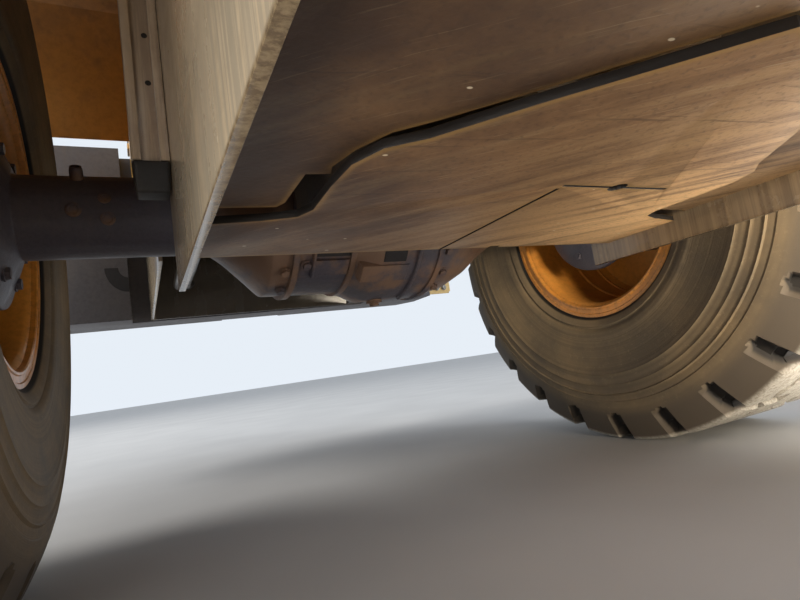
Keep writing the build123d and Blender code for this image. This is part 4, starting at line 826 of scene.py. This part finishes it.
def cushion(name, width, length, thick, tilt, place, material):
    """A crowned foam cushion with pulled-in sides and three sewn channels."""
    mesh = bmesh.new()
    bmesh.ops.create_cube(mesh, size=1.0)
    bmesh.ops.subdivide_edges(mesh, edges=mesh.edges, cuts=15, use_grid_fill=True)
    for v in mesh.verts:
        u, w, h = v.co.x * 2, v.co.y * 2, v.co.z * 2
        pull = 1.0 - 0.05 * (1 - u * u) * (abs(w) ** 6) - 0.04 * (1 - w * w) * (abs(u) ** 6)
        crown = (1 - abs(u) ** 3) * (1 - abs(w) ** 3)
        channel = sum(math.exp(-((w - c) / 0.035) ** 2) for c in (-0.33, 0.33)) * 0.16
        squeeze = 1 - 0.10 * abs(h) ** 4
        v.co.x = width / 2 * u * pull * squeeze
        v.co.y = length / 2 * w * pull * squeeze
        v.co.z = thick / 2 * (h * (0.72 + 0.28 * crown) - (channel * (1 - abs(u) ** 8) if h > 0.8 else 0.0))
    bmesh.ops.transform(mesh, verts=mesh.verts, matrix=Matrix.Rotation(tilt, 4, "X"))
    data = bpy.data.meshes.new(name)
    mesh.to_mesh(data)
    mesh.free()
    data.polygons.foreach_set("use_smooth", [True] * len(data.polygons))
    data.materials.append(material)
    made = bpy.data.objects.new(name, data)
    made.location = place
    smooth = made.modifiers.new("smooth", "SUBSURF")
    smooth.levels = smooth.render_levels = 1
    bpy.context.scene.collection.objects.link(made)
    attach(made, "chassis")
    return made


seat_cloth = woven_cloth("seat_cloth")
seat_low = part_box("operator_seat")[0]
seat_pad = cushion("seat_cushion", 0.50, 0.48, 0.12, 0.0, (0, seat_low.y + 0.26, 1.812), seat_cloth)
seat_back = cushion("seat_backrest", 0.48, 0.66, 0.095, math.radians(79), (0, seat_low.y + 0.53, 2.18), seat_cloth)
turned("seat_suspension", [(0.0, 0.0), (0.0, 0.205), (0.05, 0.205), (0.07, 0.19), (0.10, 0.17), (0.13, 0.19),
                                      (0.16, 0.17), (0.19, 0.19), (0.22, 0.17), (0.25, 0.20), (0.29, 0.205), (0.29, 0.0)],
                  (0, seat_low.y + 0.25, seat_low.z + 0.002), spin=math.radians(45), turns=4, axis="Z",
                  material=satin_black)
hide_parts("operator_seat")
column_plastic = worn_steel("column_plastic", rgb(46, 46, 47), dust=rgb(96, 90, 82), bare=rgb(64, 62, 60), scale=6.0,
                            dust_amount=0.3, runs=0.0, chips=0.2, gloss=0.55, relief=0.25, coat=0.0)
dress("console", column_plastic, 0.004)

# Front frame and lift linkage: thick plate towers, two deep arms, a bellcrank and a link, all
# flame-cut, welded and painted yellow, with greasy pins.
dress("front_frame", machine_yellow, 0.005)
dress("lift_arms", machine_yellow, 0.006)
dress("bellcrank", machine_yellow, 0.006)
dress("bucket_link", machine_yellow, 0.006)

# Cylinders: drawn steel barrels painted with the machine, and ground rods with a hard chrome
# surface that the seals keep clean.
for node in ("lift_barrels", "tilt_barrel", "steer_barrel_left", "steer_barrel_right"):
    dress(node, machine_yellow, 0.003)
rod_chrome = worn_steel("rod_chrome", rgb(214, 216, 220), dust=rgb(150, 140, 126), bare=rgb(200, 200, 204), scale=5.0,
                        dust_amount=0.12, runs=0.05, chips=0.0, gloss=0.06, relief=0.02, coat=0.0)
for link in list(rod_chrome.node_tree.links):
    if link.to_socket.name == "Metallic":
        rod_chrome.node_tree.links.remove(link)
rod_chrome.node_tree.nodes["Principled BSDF"].inputs["Metallic"].default_value = 1.0
for node in ("lift_rods", "tilt_rod", "steer_rod_left", "steer_rod_right"):
    dress(node, rod_chrome, 0.002)

# Bucket: a rolled shell with welded sides, yellow outside and scoured inside, with a bolted cutting
# edge and teeth of hard steel worn bright.
bucket_yellow = worn_steel("bucket_yellow", rgb(206, 152, 60), dust=rgb(138, 116, 92), bare=rgb(120, 108, 98), scale=1.3,
                           dust_amount=0.75, runs=0.5, chips=1.0, gloss=0.36, relief=0.3, coat=0.15)
dress("bucket", bucket_yellow, 0.005)
edge_steel = worn_steel("edge_steel", rgb(104, 98, 92), dust=rgb(128, 104, 80), bare=rgb(176, 172, 166), scale=4.0,
                        dust_amount=0.6, runs=0.1, chips=1.0, gloss=0.4, relief=0.35, coat=0.0)
dress("bucket_edge", edge_steel, 0.004)

# Work lamps: moulded black housings on short posts, bolted to the tops of the front fenders.
# A thin coat of dust lies on them.
dress("front_lamps", satin_black, 0.008)
